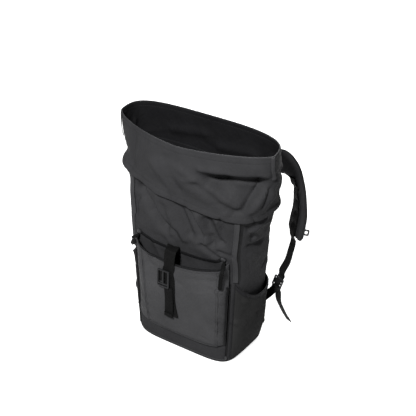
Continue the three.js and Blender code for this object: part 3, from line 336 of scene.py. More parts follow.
def segment_fall(right, up, run, climb, spread):
    """Weight of a fold at offsets from its start, from 1 on its line to 0 away from it."""
    length = math.hypot(run, climb)
    share = (right * run + up * climb) / length**2
    beside = (right * climb - up * run) / length
    past = np.maximum(0, np.maximum(-share, share - 1)) * length
    return np.exp(-(beside**2 + past**2) / spread**2)


def small_creases(count):
    """Faint creases over the cloth, fainter on the pocket and the back: start, end, spread and depth."""
    draw = np.random.default_rng(11)
    rows = []
    for _ in range(count):
        along, z = draw.uniform(-HALF_GIRTH, HALF_GIRTH), draw.uniform(70, RIM_HEIGHT - 30)
        lean, reach = draw.normal(-0.5, 0.55), draw.uniform(16, 48)
        spread, depth = draw.uniform(3.6, 7.5), draw.choice((-1, 1)) * draw.uniform(0.7, 2.3)
        if abs(along) > 300 or (abs(along) < POCKET_HALF + 10 and z < CLOSURE_ROOT + 20):
            depth *= 0.3
        if COVER_START - 16 < abs(along) < COVER_START + 22 and COVER_FOOT - 10 < z < HEM_HEIGHT:
            depth *= 0.2
        rows.append((along, z, along + reach * math.cos(lean), z + reach * math.sin(lean), spread, depth))
    return rows


class Cloth:
    """The outer face of the bag's cloth as a fine grid of height and distance round the bag."""

    ROWS = 296
    COLUMNS = 840
    STEPS = 960

    def __init__(self):
        look = bpy.context.scene.backpack_sizes
        creases = CREASES + small_creases(look.crease_count)
        self.creases = [(*row[:5], row[5] * look.crease_depth) for row in creases]
        self.points = np.array([self.row(i * RIM_HEIGHT / (self.ROWS - 1)) for i in range(self.ROWS)])
        ahead = np.roll(self.points, -4, axis=1) - np.roll(self.points, 4, axis=1)
        ahead /= np.linalg.norm(ahead, axis=2, keepdims=True)
        self.normals = np.stack([ahead[..., 1], -ahead[..., 0]], axis=-1)

    def row(self, z):
        level = z / RIM_HEIGHT
        _, flare, front, back, front_square, back_square, taper, turn, sway = sample(FORM, level)
        under = max(0.0, 1 - z / BASE_ROUND)
        inset = BASE_ROUND * (1 - math.sqrt(1 - under * under))
        half_depth = BASE_DEPTH / 2
        half_width = (BASE_WIDTH + (MOUTH_WIDTH - BASE_WIDTH) * flare) / 2 - inset
        angle = (2 * np.arange(self.STEPS) / self.STEPS - 1) * math.pi
        is_front = np.cos(angle) >= -1e-12
        square = np.where(is_front, front_square, back_square)
        x = half_width * np.sign(np.sin(angle)) * np.abs(np.sin(angle)) ** (2 / square)
        reach = np.abs(np.cos(angle)) ** (2 / square)
        y = np.where(is_front, -(half_depth * front - inset) * reach, (half_depth * back - inset) * reach)
        plan = np.stack([x * (1 + taper * y / half_depth) + sway * MOUTH_WIDTH, y + turn * x], axis=1)
        lengths = self.lengths(plan)
        half = lengths[-1] / 2
        rounds = (lengths[:-1] - lengths[self.STEPS // 2]) / half
        fold, crease = np.zeros(self.STEPS), np.zeros(self.STEPS)
        for r0, l0, r1, l1, spread, deep in FOLDS:
            fold += deep * BASE_DEPTH * segment_fall(
                (rounds - r0) * half, (level - l0) * RIM_HEIGHT, (r1 - r0) * half, (l1 - l0) * RIM_HEIGHT,
                spread * MOUTH_WIDTH)
        beside = np.abs(np.abs(rounds * HALF_GIRTH) - COVER_START - COVER_WIDTH / 2) / COVER_WIDTH
        zipped = np.clip(min(z - COVER_FOOT, HEM_HEIGHT - z) / 12 + 1, 0, 1)
        taut = 1 - 0.85 * zipped * np.exp(-(beside**2))
        for s0, z0, s1, z1, spread, deep in self.creases:
            if not min(z0, z1) - 4 * spread < z < max(z0, z1) + 4 * spread:
                continue
            crease += taut * deep * segment_fall(rounds * HALF_GIRTH - s0, z - z0, s1 - s0, z1 - z0, spread)
        ahead = np.roll(plan, -1, axis=0) - np.roll(plan, 1, axis=0)
        ahead /= np.linalg.norm(ahead, axis=1, keepdims=True)
        outwards = np.stack([ahead[:, 1], -ahead[:, 0]], axis=1)
        folded = plan + fold[:, None] * outwards
        creased = folded + crease[:, None] * outwards
        lengths = self.lengths(folded)
        front_at = lengths[self.STEPS // 2]
        share = 2 * np.arange(self.COLUMNS) / self.COLUMNS
        at = np.where(share < 1, front_at * share, front_at + (lengths[-1] - front_at) * (share - 1))
        closed = np.vstack([creased, creased[:1]])
        return np.stack([np.interp(at, lengths, closed[:, k]) for k in (0, 1)], axis=1)

    @staticmethod
    def lengths(points):
        gaps = np.linalg.norm(np.roll(points, -1, axis=0) - points, axis=1)
        return np.concatenate([[0], np.cumsum(gaps)])

    def on(self, along, z, out=0.0):
        """Points on the cloth, for numbers or arrays."""
        along, z, out = np.broadcast_arrays(*(np.asarray(v, float) for v in (along, z, out)))
        row = np.clip(z / RIM_HEIGHT, 0, 1) * (self.ROWS - 1)
        low = np.minimum(row.astype(int), self.ROWS - 2)
        up = row - low
        column = (along / HALF_GIRTH + 1) * self.COLUMNS / 2
        left = np.floor(column).astype(int)
        t = column - left

        def mix(grid):
            def at(r, c):
                return grid[r, c % self.COLUMNS]
            foot = at(low, left) * (1 - t)[..., None] + at(low, left + 1) * t[..., None]
            head = at(low + 1, left) * (1 - t)[..., None] + at(low + 1, left + 1) * t[..., None]
            return foot * (1 - up)[..., None] + head * up[..., None]

        flat = mix(self.points) + mix(self.normals) * out[..., None]
        return np.concatenate([flat, z[..., None]], axis=-1)

    def behind(self, x, z, out=0.0):
        return self.on(HALF_GIRTH - np.asarray(x, float), z, out)


def unit(v):
    v = np.asarray(v, float)
    return v / np.linalg.norm(v, axis=-1, keepdims=True)


def curve_at(points, params):
    """Points of a centripetal Catmull-Rom curve at parameters from 0 to the number of its spans."""
    p = np.asarray(points, float)
    ends = np.vstack([2 * p[0] - p[1], p, 2 * p[-1] - p[-2]])
    out = []
    for param in np.atleast_1d(params):
        i = int(min(param, len(p) - 2))
        t = param - i
        p0, p1, p2, p3 = ends[i:i + 4]
        d0, d1, d2 = (max(np.linalg.norm(b - a), 1e-6) ** 0.5 for a, b in ((p0, p1), (p1, p2), (p2, p3)))
        m1 = ((p1 - p0) / d0 - (p2 - p0) / (d0 + d1) + (p2 - p1) / d1) * d1
        m2 = ((p2 - p1) / d1 - (p3 - p1) / (d1 + d2) + (p3 - p2) / d2) * d1
        out.append((2 * t**3 - 3 * t**2 + 1) * p1 + (t**3 - 2 * t**2 + t) * m1
                   + (3 * t**2 - 2 * t**3) * p2 + (t**3 - t**2) * m2)
    return np.array(out)


def smooth_path(points, count):
    """Points at even distances on such a curve, and their parameters."""
    params = np.linspace(0, len(points) - 1, 24 * len(points))
    fine = curve_at(points, params)
    at = np.concatenate([[0], np.cumsum(np.linalg.norm(np.diff(fine, axis=0), axis=1))])
    even = np.interp(np.linspace(0, at[-1], count + 1), at, params)
    return curve_at(points, even), even


def frames(points, sides):
    """Direction of travel, side and face of a band at each of its points."""
    ahead = np.vstack([points[1:], points[-1:]]) - np.vstack([points[:1], points[:-1]])
    ahead = unit(ahead)
    side = unit(sides - ahead * np.sum(sides * ahead, axis=1, keepdims=True))
    return ahead, side, unit(np.cross(ahead, side))


class Shape:
    """A mesh in the making, with a place on the cloth for each corner as its UV."""

    def __init__(self):
        self.verts, self.faces, self.uvs, self.tones = [], [], [], []
        self.tone = 0

    def grid(self, points, uv, wrap_rows=False, wrap_columns=False, tones=None):
        rows, columns = points.shape[:2]
        first = len(self.verts)
        self.verts += [tuple(p) for p in points.reshape(-1, 3)]
        for r in range(rows if wrap_rows else rows - 1):
            for c in range(columns if wrap_columns else columns - 1):
                quad = [(r, c), (r, c + 1), (r + 1, c + 1), (r + 1, c)]
                self.faces.append([first + (a % rows) * columns + b % columns for a, b in quad])
                self.uvs.append([tuple(uv[a % rows, b % columns]) if b < columns
                                 else (uv[a % rows, -1, 0] + uv[0, 1, 0] - uv[0, 0, 0], uv[a % rows, 0, 1])
                                 for a, b in quad])
                self.tones.append(tones[r] if tones else self.tone)
        return first

    def face(self, corners, uv=(0.0, 0.0)):
        self.faces.append(list(corners))
        self.uvs.append([uv] * len(self.faces[-1]))
        self.tones.append(self.tone)

    def mirror(self):
        self.verts = [(-x, y, z) for x, y, z in self.verts]
        return self

    def make(self, name, *materials, sharp=40):
        mesh = bpy.data.meshes.new(name)
        mesh.from_pydata([tuple(MM * v for v in p) for p in self.verts], [], self.faces)
        layer = mesh.uv_layers.new(name="cloth")
        layer.data.foreach_set("uv", [MM * v for face in self.uvs for corner in face for v in corner])
        mesh.polygons.foreach_set("material_index", self.tones)
        bm = bmesh.new()
        bm.from_mesh(mesh)
        bmesh.ops.recalc_face_normals(bm, faces=bm.faces)
        bm.to_mesh(mesh)
        bm.free()
        for material in materials:
            mesh.materials.append(material)
        mesh.shade_smooth()
        mesh.set_sharp_from_angle(angle=math.radians(sharp))
        obj = bpy.data.objects.new(name, mesh)
        bpy.context.scene.collection.objects.link(obj)
        return obj


def add_wall(shape, outer, inner, uv, wrap=False, lined=False):
    """A wall of cloth between two grids, with rounded edges at its head and foot."""
    rows = len(outer)

    def arc(a, b, up):
        middle, half = (a + b) / 2, np.linalg.norm(a - b, axis=-1, keepdims=True) / 2
        return [middle + (a - middle) * math.cos(t) + up * half * math.sin(t)
                for t in (math.pi / 3, 2 * math.pi / 3)]

    head = arc(outer[-1], inner[-1], unit(outer[-1] - outer[-2]) * 0.8)
    foot = arc(inner[0], outer[0], unit(outer[0] - outer[1]) * 0.5)
    section = np.array([*outer, *head, *inner[::-1], *foot])
    uvs = np.array([*uv, uv[-1], uv[-1], *uv[::-1], uv[0], uv[0]])
    tones = [1 if lined and r > rows + 1 else shape.tone for r in range(len(section))]
    first = shape.grid(section, uvs, wrap_rows=True, wrap_columns=wrap, tones=tones)
    if wrap:
        return
    columns = section.shape[1]
    for c in (0, columns - 1):
        def at(row, c=c):
            return first + row * columns + c
        for i in range(rows - 1):
            shape.face([at(i), at(i + 1), at(2 * rows - i), at(2 * rows + 1 - i)], tuple(uv[i, c]))
        shape.face([at(rows - 1), at(rows), at(rows + 1), at(rows + 2)], tuple(uv[-1, c]))
        shape.face([at(2 * rows + 1), at(2 * rows + 2), at(2 * rows + 3), at(0)], tuple(uv[0, c]))


def add_sweep(shape, points, sides, section_of):
    """A closed body along points; section_of gives its outline as (across, out) at a share of the length."""
    points = np.asarray(points, float)
    _, side, face = frames(points, np.broadcast_to(np.asarray(sides, float), points.shape))
    at = np.concatenate([[0], np.cumsum(np.linalg.norm(np.diff(points, axis=0), axis=1))])
    rings, uvs = [], []
    for i, p in enumerate(points):
        section = section_of(at[i] / at[-1])
        rings.append([p + side[i] * a + face[i] * b for a, b in section])
        uvs.append([(a, at[i]) for a, _ in section])
    first = shape.grid(np.array(rings), np.array(uvs), wrap_columns=True)
    count = len(rings[0])
    shape.face([first + k for k in range(count)])
    shape.face([first + (len(rings) - 1) * count + k for k in range(count)])


def band_section(width, thick, rim=None, crown=0.0):
    """Outline of flat webbing with rounded edges."""
    w, t = width / 2, thick / 2
    r = t * 0.9 if rim is None else min(rim, t * 0.95)
    top = [(w, 0), (w - 0.15 * r, t - r * 0.55), (w - r * 0.6, t - r * 0.12)]
    top += [((w - r) * k, t + crown * t * (1 - k * k)) for k in np.linspace(1, -1, 7)]
    top += [(-w + r * 0.6, t - r * 0.12), (-w + 0.15 * r, t - r * 0.55), (-w, 0)]
    return top + [(a, -b) for a, b in top[-2:0:-1]]


def add_band(shape, points, sides, width, thick, **shaping):
    section = band_section(width, thick, **shaping)
    add_sweep(shape, points, sides, lambda share: section)


def add_tube(shape, points, ups, radius, flat=1.0):
    """A round or flattened tube that lies along points."""
    angles = np.arange(10) * math.pi / 5
    section = [(radius * math.cos(a), radius * flat * math.sin(a)) for a in angles]
    ahead = np.gradient(np.asarray(points, float), axis=0)
    add_sweep(shape, points, np.cross(ups, ahead), lambda share: section)


def add_thread(shape, points, ups, radius=None, pitch=None, length=None):
    """A row of stitches along a line: short rounded bars that lie on the cloth."""
    radius = radius or size("thread_radius")
    pitch = pitch or size("stitch_pitch")
    length = length or size("stitch_length")
    points = np.asarray(points, float)
    at = np.concatenate([[0], np.cumsum(np.linalg.norm(np.diff(points, axis=0), axis=1))])
    ups = np.broadcast_to(np.asarray(ups, float), points.shape)
    for start in np.arange(pitch / 2, at[-1] - length, pitch):
        a, b = (np.array([np.interp(v, at, points[:, k]) for k in range(3)]) for v in (start, start + length))
        up = unit(np.array([np.interp(start, at, ups[:, k]) for k in range(3)]))
        ahead = unit(b - a)
        side = unit(np.cross(up, ahead))
        first = len(shape.verts)
        for p, r in ((a, 0.3), (a + ahead * 0.5, 1.0), (b - ahead * 0.5, 1.0), (b, 0.3)):
            for s, u in ((1, 0), (0, 1), (-1, 0), (0, -0.6)):
                shape.verts.append(tuple(p + side * s * radius * r + up * u * radius * r))
        for ring in range(3):
            for k in range(4):
                shape.face([first + ring * 4 + k, first + ring * 4 + (k + 1) % 4,
                            first + ring * 4 + 4 + (k + 1) % 4, first + ring * 4 + 4 + k])
        shape.face([first + k for k in (3, 2, 1, 0)])
        shape.face([first + 12 + k for k in range(4)])


def stations(low, high, step):
    return np.linspace(low, high, max(2, int(round(abs(high - low) / step)) + 1))


def dress(obj, nodes):
    """The piece stands for these CAD nodes, which are hidden, and rides with the root body."""
    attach(obj, "root")
    if nodes:
        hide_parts(*nodes)
    return obj


# Materials
def waves(millimetres):
    """Scale of a wave texture on coordinates in metres, for bands this far apart."""
    return math.pi / 10 * 1000 / millimetres


def spots(millimetres):
    """Scale of a noise or cell texture on coordinates in metres, for spots this big."""
    return 1000 / millimetres


def shaded(colour, k):
    return (*(min(1.0, c * k) for c in colour), 1)


def new_material(name, **values):
    """A material whose shader has these values, given by its sockets' names with _ for a space."""
    material = bpy.data.materials.new(name)
    material.use_nodes = True
    for key, value in values.items():
        material.node_tree.nodes["Principled BSDF"].inputs[key.replace("_", " ")].default_value = value
    return material


def add_node(material, kind, inputs=(), output=0, to=None, **settings):
    """Adds a node with its settings and links, and gives the output asked for.

    to is one of the shader's inputs.
    """
    tree = material.node_tree
    node = tree.nodes.new(kind)
    for key, value in settings.items():
        setattr(node, key, value)
    for key, value in dict(inputs).items():
        if isinstance(value, bpy.types.NodeSocket):
            tree.links.new(value, node.inputs[key])
        else:
            node.inputs[key].default_value = value
    if to:
        tree.links.new(node.outputs[output], tree.nodes["Principled BSDF"].inputs[to])
    return node.outputs[output]


def coated_polyester(name, colour, rough, wrinkle=1.0):
    """Polyester plain weave, coated on its back and sewn: matt black, a little uneven, with soft dents.

    The coating and the many thread crowns spread the gloss so wide that almost none is left, so the specular
    level is near nothing at the usual IOR of 1.5. Threads are 0.22 mm apart and drawn at 0.44 mm to show.
    """
    material = new_material(name, IOR=1.5, Specular_IOR_Level=0.01)
    add = partial(add_node, material)
    flat = add("ShaderNodeTexCoord", output="UV")
    solid = add("ShaderNodeTexCoord", output="Object")
    patches = add("ShaderNodeTexNoise",
                  {"Vector": solid, "Scale": spots(110), "Detail": 4.0, "Roughness": 0.6})
    grain = add("ShaderNodeTexNoise", {"Vector": flat, "Scale": spots(3.8), "Detail": 2.0, "Roughness": 0.55})
    uneven = add("ShaderNodeMapRange",
                 {0: add("ShaderNodeMix", {0: 0.25, 2: patches, 3: grain}), 1: 0.30, 2: 0.72})
    add("ShaderNodeMix", {0: uneven, 6: shaded(colour, 0.78), 7: shaded(colour, 1.22)}, 2, "Base Color",
        data_type="RGBA")
    rubbed = add("ShaderNodeTexNoise",
                 {"Vector": solid, "Scale": spots(29), "Detail": 3.0, "Roughness": 0.55})
    add("ShaderNodeMapRange", {0: rubbed, 3: rough - 0.07, 4: rough + 0.07}, to="Roughness")
    slanted = add("ShaderNodeMapping", {0: flat, 2: (0, 0, 0.35), 3: (1.0, 0.55, 1.0)})
    dents = add("ShaderNodeTexNoise",
                {"Vector": slanted, "Scale": spots(22), "Detail": 5.0, "Roughness": 0.62})
    turned = add("ShaderNodeMapping", {0: flat, 2: (0, 0, -0.5)})
    puckers = add("ShaderNodeTexNoise",
                  {"Vector": turned, "Scale": spots(6.7), "Detail": 4.0, "Roughness": 0.6})
    soft = add("ShaderNodeBump", {"Height": dents, "Distance": 0.0036 * wrinkle, "Strength": 0.8})
    finer = add("ShaderNodeBump",
                {"Height": puckers, "Distance": 0.0006 * wrinkle, "Strength": 0.5, "Normal": soft})
    warp = add("ShaderNodeTexWave", {"Vector": flat, "Scale": waves(0.44)}, "Fac", bands_direction="X")
    weft = add("ShaderNodeTexWave", {"Vector": flat, "Scale": waves(0.44)}, "Fac", bands_direction="Y")
    threads = add("ShaderNodeMath", {0: warp, 1: weft}, operation="MULTIPLY")
    add("ShaderNodeBump", {"Height": threads, "Distance": 0.00012, "Strength": 0.55, "Normal": finer},
        to="Normal")
    return material


def elastane_knit(name, colour, rough):
    """Stretch knit of polyester and elastane: upright ribs of small loops, and no gloss.

    Ribs are 0.3 mm apart and drawn at 0.63 mm to show.
    """
    material = new_material(name, IOR=1.5, Roughness=rough, Specular_IOR_Level=0.01)
    add = partial(add_node, material)
    flat = add("ShaderNodeTexCoord", output="UV")
    solid = add("ShaderNodeTexCoord", output="Object")
    ribs = add("ShaderNodeTexWave", {"Vector": flat, "Scale": waves(0.63), "Distortion": 1.2, "Detail": 1.0,
                                     "Detail Scale": 3.0}, "Fac", bands_direction="X")
    loops = add("ShaderNodeTexWave", {"Vector": flat, "Scale": waves(0.75), "Distortion": 0.6}, "Fac",
                bands_direction="Y")
    height = add("ShaderNodeMath", {0: ribs, 1: add("ShaderNodeMapRange", {0: loops, 3: 0.5, 4: 1.0})},
                 operation="MULTIPLY")
    patches = add("ShaderNodeTexNoise", {"Vector": solid, "Scale": spots(71), "Detail": 3.0})
    uneven = add("ShaderNodeMapRange", {0: patches, 1: 0.3, 2: 0.7})
    add("ShaderNodeMix", {0: uneven, 6: shaded(colour, 0.8), 7: shaded(colour, 1.2)}, 2, "Base Color",
        data_type="RGBA")
    dents = add("ShaderNodeTexNoise", {"Vector": flat, "Scale": spots(17), "Detail": 3.0})
    soft = add("ShaderNodeBump", {"Height": dents, "Distance": 0.0012, "Strength": 0.4})
    add("ShaderNodeBump", {"Height": height, "Distance": 0.0003, "Strength": 0.7, "Normal": soft},
        to="Normal")
    return material


def spacer_mesh(name, colour, rough):
    """Spacer mesh laid over foam: a net of small round holes 2 mm apart, with painted shade in the holes."""
    material = new_material(name, IOR=1.5, Roughness=rough, Specular_IOR_Level=0.01)
    add = partial(add_node, material)
    flat = add("ShaderNodeTexCoord", output="UV")
    cells = add("ShaderNodeTexVoronoi", {"Vector": flat, "Scale": spots(2.1), "Randomness": 0.25}, "Distance")
    net = add("ShaderNodeMapRange", {0: cells, 1: 0.15, 2: 0.55})
    # painted shade: the colour is darker in the holes of the net, standing in for the shade inside them
    tone = add("ShaderNodeMapRange", {0: net, 1: 0.1, 2: 0.9})
    add("ShaderNodeMix", {0: tone, 6: shaded(colour, 0.45), 7: shaded(colour, 1.25)}, 2, "Base Color",
        data_type="RGBA")
    dents = add("ShaderNodeTexNoise", {"Vector": flat, "Scale": spots(20), "Detail": 3.0})
    soft = add("ShaderNodeBump", {"Height": dents, "Distance": 0.0015, "Strength": 0.4})
    add("ShaderNodeBump", {"Height": net, "Distance": 0.0005, "Strength": 0.8, "Normal": soft}, to="Normal")
    return material


def woven_webbing(name, colour, rough):
    """Polyester webbing in a herringbone weave: slanting ribs 1 mm apart, tones rubbed by use, and painted
    shade between the ribs.
    """
    material = new_material(name, IOR=1.5, Roughness=rough, Specular_IOR_Level=0.01)
    add = partial(add_node, material)
    flat = add("ShaderNodeTexCoord", output="UV")
    solid = add("ShaderNodeTexCoord", output="Object")
    slanted = add("ShaderNodeMapping", {0: flat, 2: (0, 0, 0.6)})
    ribs = add("ShaderNodeTexWave", {"Vector": slanted, "Scale": waves(0.95), "Distortion": 0.2}, "Fac",
               bands_direction="Y")
    columns = add("ShaderNodeTexWave", {"Vector": flat, "Scale": waves(1.85)}, "Fac", bands_direction="X")
    height = add("ShaderNodeMath", {0: ribs, 1: add("ShaderNodeMapRange", {0: columns, 3: 0.45, 4: 1.0})},
                 operation="MULTIPLY")
    wear = add("ShaderNodeTexNoise", {"Vector": solid, "Scale": spots(25), "Detail": 3.0})
    # painted shade and highlight: the tone follows the weave's height, darker in the grooves and paler on the
    # rib crowns, mixed with real rubbed wear
    tone = add("ShaderNodeMapRange", {0: add("ShaderNodeMix", {0: 0.45, 2: height, 3: wear}), 1: 0.2, 2: 0.8})
    add("ShaderNodeMix", {0: tone, 6: shaded(colour, 0.7), 7: shaded(colour, 1.35)}, 2, "Base Color",
        data_type="RGBA")
    add("ShaderNodeBump", {"Height": height, "Distance": 0.0004, "Strength": 0.75}, to="Normal")
    return material


def nylon_coil(name, colour, rough):
    """Nylon coil zip seen from its back: fine ribs 1.2 mm apart along a smooth tape."""
    material = new_material(name, IOR=1.53, Specular_IOR_Level=0.05)
    add = partial(add_node, material)
    flat = add("ShaderNodeTexCoord", output="UV")
    coil = add("ShaderNodeTexWave", {"Vector": flat, "Scale": waves(1.2)}, "Fac", bands_direction="X")
    # painted shade and highlight: the colour is darker between the coil's turns and paler on them
    tone = add("ShaderNodeMapRange", {0: coil, 1: 0.2, 2: 0.8})
    add("ShaderNodeMix", {0: tone, 6: shaded(colour, 0.6), 7: shaded(colour, 1.5)}, 2, "Base Color",
        data_type="RGBA")
    add("ShaderNodeBump", {"Height": coil, "Distance": 0.0006, "Strength": 0.8}, to="Normal")
    grain = add("ShaderNodeTexNoise", {"Vector": flat, "Scale": spots(3.3), "Detail": 3.0})
    add("ShaderNodeMapRange", {0: grain, 3: rough - 0.08, 4: rough + 0.08}, to="Roughness")
    return material


def coated_hardware(name, colour, rough, rub, gloss):
    """Die-cast zinc under black paint, or moulded acetal: fine grain, and paler where its edges are rubbed.

    Paint and acetal are dielectric, so it isn't metallic. The grain is 0.3 mm and drawn at 1.1 mm to show.
    """
    material = new_material(name, IOR=1.48, Specular_IOR_Level=gloss)
    add = partial(add_node, material)
    solid = add("ShaderNodeTexCoord", output="Object")
    edges = add("ShaderNodeNewGeometry", output="Pointiness")
    rubbed = add("ShaderNodeMapRange", {0: edges, 1: 0.50, 2: 0.58})
    marks = add("ShaderNodeTexNoise", {"Vector": solid, "Scale": spots(8.3), "Detail": 3.0})
    tone = add("ShaderNodeMapRange",
               {0: add("ShaderNodeMix", {0: 0.3, 2: rubbed, 3: marks}), 1: 0.15, 2: 0.85})
    add("ShaderNodeMix", {0: tone, 6: shaded(colour, 1), 7: shaded(colour, rub)}, 2, "Base Color",
        data_type="RGBA")
    grain = add("ShaderNodeTexNoise", {"Vector": solid, "Scale": spots(1.1), "Detail": 3.0})
    add("ShaderNodeMapRange", {0: grain, 3: rough - 0.06, 4: rough + 0.06}, to="Roughness")
    add("ShaderNodeBump", {"Height": grain, "Distance": 0.0001, "Strength": 0.35}, to="Normal")
    return material


def studio_paper(name, colour):
    """Matt paper sweep, lit from behind so that it stays white round the bag."""
    material = new_material(name, Roughness=0.9, Specular_IOR_Level=0.1, Emission_Color=(1, 1, 1, 1),
                            Emission_Strength=0.86)
    add = partial(add_node, material)
    solid = add("ShaderNodeTexCoord", output="Object")
    patches = add("ShaderNodeTexNoise", {"Vector": solid, "Scale": spots(330), "Detail": 3.0})
    uneven = add("ShaderNodeMapRange", {0: patches, 1: 0.3, 2: 0.7})
    add("ShaderNodeMix", {0: uneven, 6: shaded(colour, 0.995), 7: shaded(colour, 1)}, 2, "Base Color",
        data_type="RGBA")
    return material


@cache
def finishes():
    """The bag's materials, made once."""
    tint = bpy.context.scene.backpack_colours
    return {
        "body": coated_polyester("coated_polyester_body", tint.shell, 0.52),
        "collar": coated_polyester("coated_polyester_collar", tint.collar, 0.48),
        "pocket": coated_polyester("coated_polyester_pocket", tint.pocket, 0.54, 0.8),
        "trim": coated_polyester("coated_polyester_trim", tint.trim, 0.42, 0.3),
        "trim_dark": coated_polyester("polyester_binding", tint.binding, 0.5, 0.3),
        "lining": coated_polyester("polyester_lining", tint.lining, 0.6, 1.2),
        "stretch": elastane_knit("elastane_knit", tint.stretch, 0.75),
        "mesh": spacer_mesh("spacer_mesh", tint.mesh, 0.75),
        "webbing": woven_webbing("woven_webbing", tint.webbing, 0.5),
        "zip": nylon_coil("nylon_coil", tint.zip, 0.38),
        "thread": woven_webbing("twisted_thread", tint.thread, 0.5),
        "slider": coated_hardware("painted_zinc_slider", tint.slider, 0.36, 2.0, 0.1),
        "buckle": coated_hardware("painted_zinc_buckle", tint.buckle, 0.28, 3.0, 0.1),
        "plastic": coated_hardware("moulded_acetal", tint.plastic, 0.45, 2.0, 0.1),
    }


# Places on the bag
def tilted(along, tilt):
    return tilt / 2 * np.sin(np.asarray(along) / HALF_GIRTH * math.pi)


def hem_at(along):
    return HEM_HEIGHT + tilted(along, HEM_TILT)


def rim_at(along):
    return RIM_HEIGHT - RIM_TILT / 2 + tilted(along, RIM_TILT)


def seam_of(s):
    return np.where(np.asarray(s) > 0, SEAM_RIGHT, SEAM_LEFT)


def gusset_share(s):
    return np.clip((np.abs(s) - seam_of(s)) / (POCKET_HALF - seam_of(s)), 0, 1)


def pocket_mouth(s):
    return POCKET_MOUTH + MOUTH_RISE * ((np.asarray(s) + MOUTH_SWAY) / POCKET_HALF) ** 2


def pocket_floor(s):
    return POCKET_FLOOR + FLOOR_RISE * (np.asarray(s) / POCKET_HALF) ** 4


PROFILE_AT = np.linspace(0, 1, 101)
PROFILE = np.array([sample(POCKET_PROFILE, at)[1] for at in PROFILE_AT])


def pocket_out(s, z):
    s, z = np.broadcast_arrays(np.asarray(s, float), np.asarray(z, float))
    rise = np.clip((z - pocket_floor(s)) / (pocket_mouth(s) - pocket_floor(s)), 0, 1)
    depth = POCKET_DEPTH * np.interp(rise, PROFILE_AT, PROFILE)
    crown = 1 - 0.1 * np.minimum(1, np.abs(s) / seam_of(s)) ** 2
    gusset = gusset_share(s)
    swell = np.sin(math.pi * np.minimum(1, rise * 0.96)).clip(0) ** 0.7
    lip = np.where(s > 0, QUICK_LIP * gusset**3 * swell, 0)
    return GAP + POCKET_CLOTH + depth * crown * (1 - gusset**1.5) + lip


def rear_tape_foot(s):
    share = np.minimum(1, np.abs(np.asarray(s) + MOUTH_SWAY) / POCKET_HALF)
    return (pocket_mouth(s) + REAR_TAPE_RISE + (REAR_TAPE_END - REAR_TAPE_RISE) * share**2
            + ZIP_TAPE_WIDTH * share**6)


def pad_out(x, z):
    inward = np.minimum(np.minimum(PAD_HALF - np.abs(x), z - PAD_FOOT), PAD_HEAD - z)
    return GAP + PAD_THICK * (PAD_EDGE + (1 - PAD_EDGE) * np.clip(inward / PAD_SHOULDER, 0, 1) ** 0.6)


STRAP_ON = WEBBING / 2 + GAP


def on_pocket(s, z):
    return pocket_out(s, z) + STRAP_ON


# Pieces
def uv_of(s, z):
    return np.stack(np.broadcast_arrays(np.asarray(s, float), np.asarray(z, float)), axis=-1)


def lay_thread(shape, cloth, s, z, out, **stitch):
    s, z, out = np.broadcast_arrays(*(np.asarray(v, float) for v in (s, z, out)))
    points = cloth.on(s, z, out)
    add_thread(shape, points, points - cloth.on(s, z, out - 1), **stitch)


def lay_tube(shape, cloth, s, z, out, radius, flat=1.0):
    s, z, out = np.broadcast_arrays(*(np.asarray(v, float) for v in (s, z, out)))
    points = cloth.on(s, z, out)
    add_tube(shape, points, points - cloth.on(s, z, out - 1), radius, flat)


def add_patch(shape, cloth, s, z, foot, top):
    """A slab on the bag, from grids of distance along, height and the two faces' distances outwards."""
    s, z, foot, top = np.broadcast_arrays(*(np.asarray(v, float) for v in (s, z, foot, top)))
    add_wall(shape, cloth.on(s, z, top), cloth.on(s, z, foot), uv_of(s, z))


def round_columns(step=3.4):
    count = int(2 * HALF_GIRTH / step)
    return np.linspace(-HALF_GIRTH, HALF_GIRTH, count, endpoint=False)


def collar_inside(s, z):
    """How far out the collar's inner face lies: it flares at the hem and closes on the bag above it."""
    above = z - hem_at(s)
    rise = above / (rim_at(s) - RIM_BAND_HEIGHT - GAP - hem_at(s))
    return GAP + HEM_LIFT * np.maximum(0, 1 - rise / 0.2) + size("hem_flare") * np.exp(-(above / 12) ** 2)


def build_body(cloth, m):
    s = round_columns()
    top = HEM_HEIGHT + COLLAR_OVERLAP

    def tuck(z):
        return BODY_TUCK * np.clip((z - HEM_HEIGHT) / COLLAR_OVERLAP + 0.4, 0, 1)

    z = np.concatenate([[0, 2, 4, 6], stations(9, top, 3.4)])
    lined = np.concatenate([[BASE_PLATE, BASE_PLATE + 3], stations(11, top, 7)])
    out = np.repeat(-tuck(z)[:, None], len(s), axis=1)
    out[-1] = collar_inside(s, top) - 0.25
    outer = cloth.on(*np.meshgrid(s, z), out)
    inner = cloth.on(*np.meshgrid(s, lined), -tuck(lined)[:, None] - BODY_CLOTH)
    middle = (outer[-1] + inner[-1]) / 2 + [0, 0, 1]
    section = np.array([*outer, middle, *inner[::-1]])
    uv = np.array([uv_of(s, v) for v in (*z, top, *lined[::-1])])
    shape = Shape()
    tones = [int(r > len(z) - 2) for r in range(len(section))]
    first = shape.grid(section, uv, wrap_columns=True, tones=tones)
    shape.face([first + c for c in range(len(s))])
    shape.tone = 1
    shape.face([first + (len(section) - 1) * len(s) + c for c in range(len(s))])
    dress(shape.make("body_cup", m["body"], m["lining"]), ["body_shell"])

    seams = Shape()
    lay_tube(seams, cloth, stations(-HALF_GIRTH, HALF_GIRTH, 4), 11, 0.1, 1.3)
    for side in (1, -1):
        lay_thread(seams, cloth, side * 292, stations(16, hem_at(side * 292) - 4, 4), 0.25)
    dress(seams.make("body_seams", m["trim"]), [])


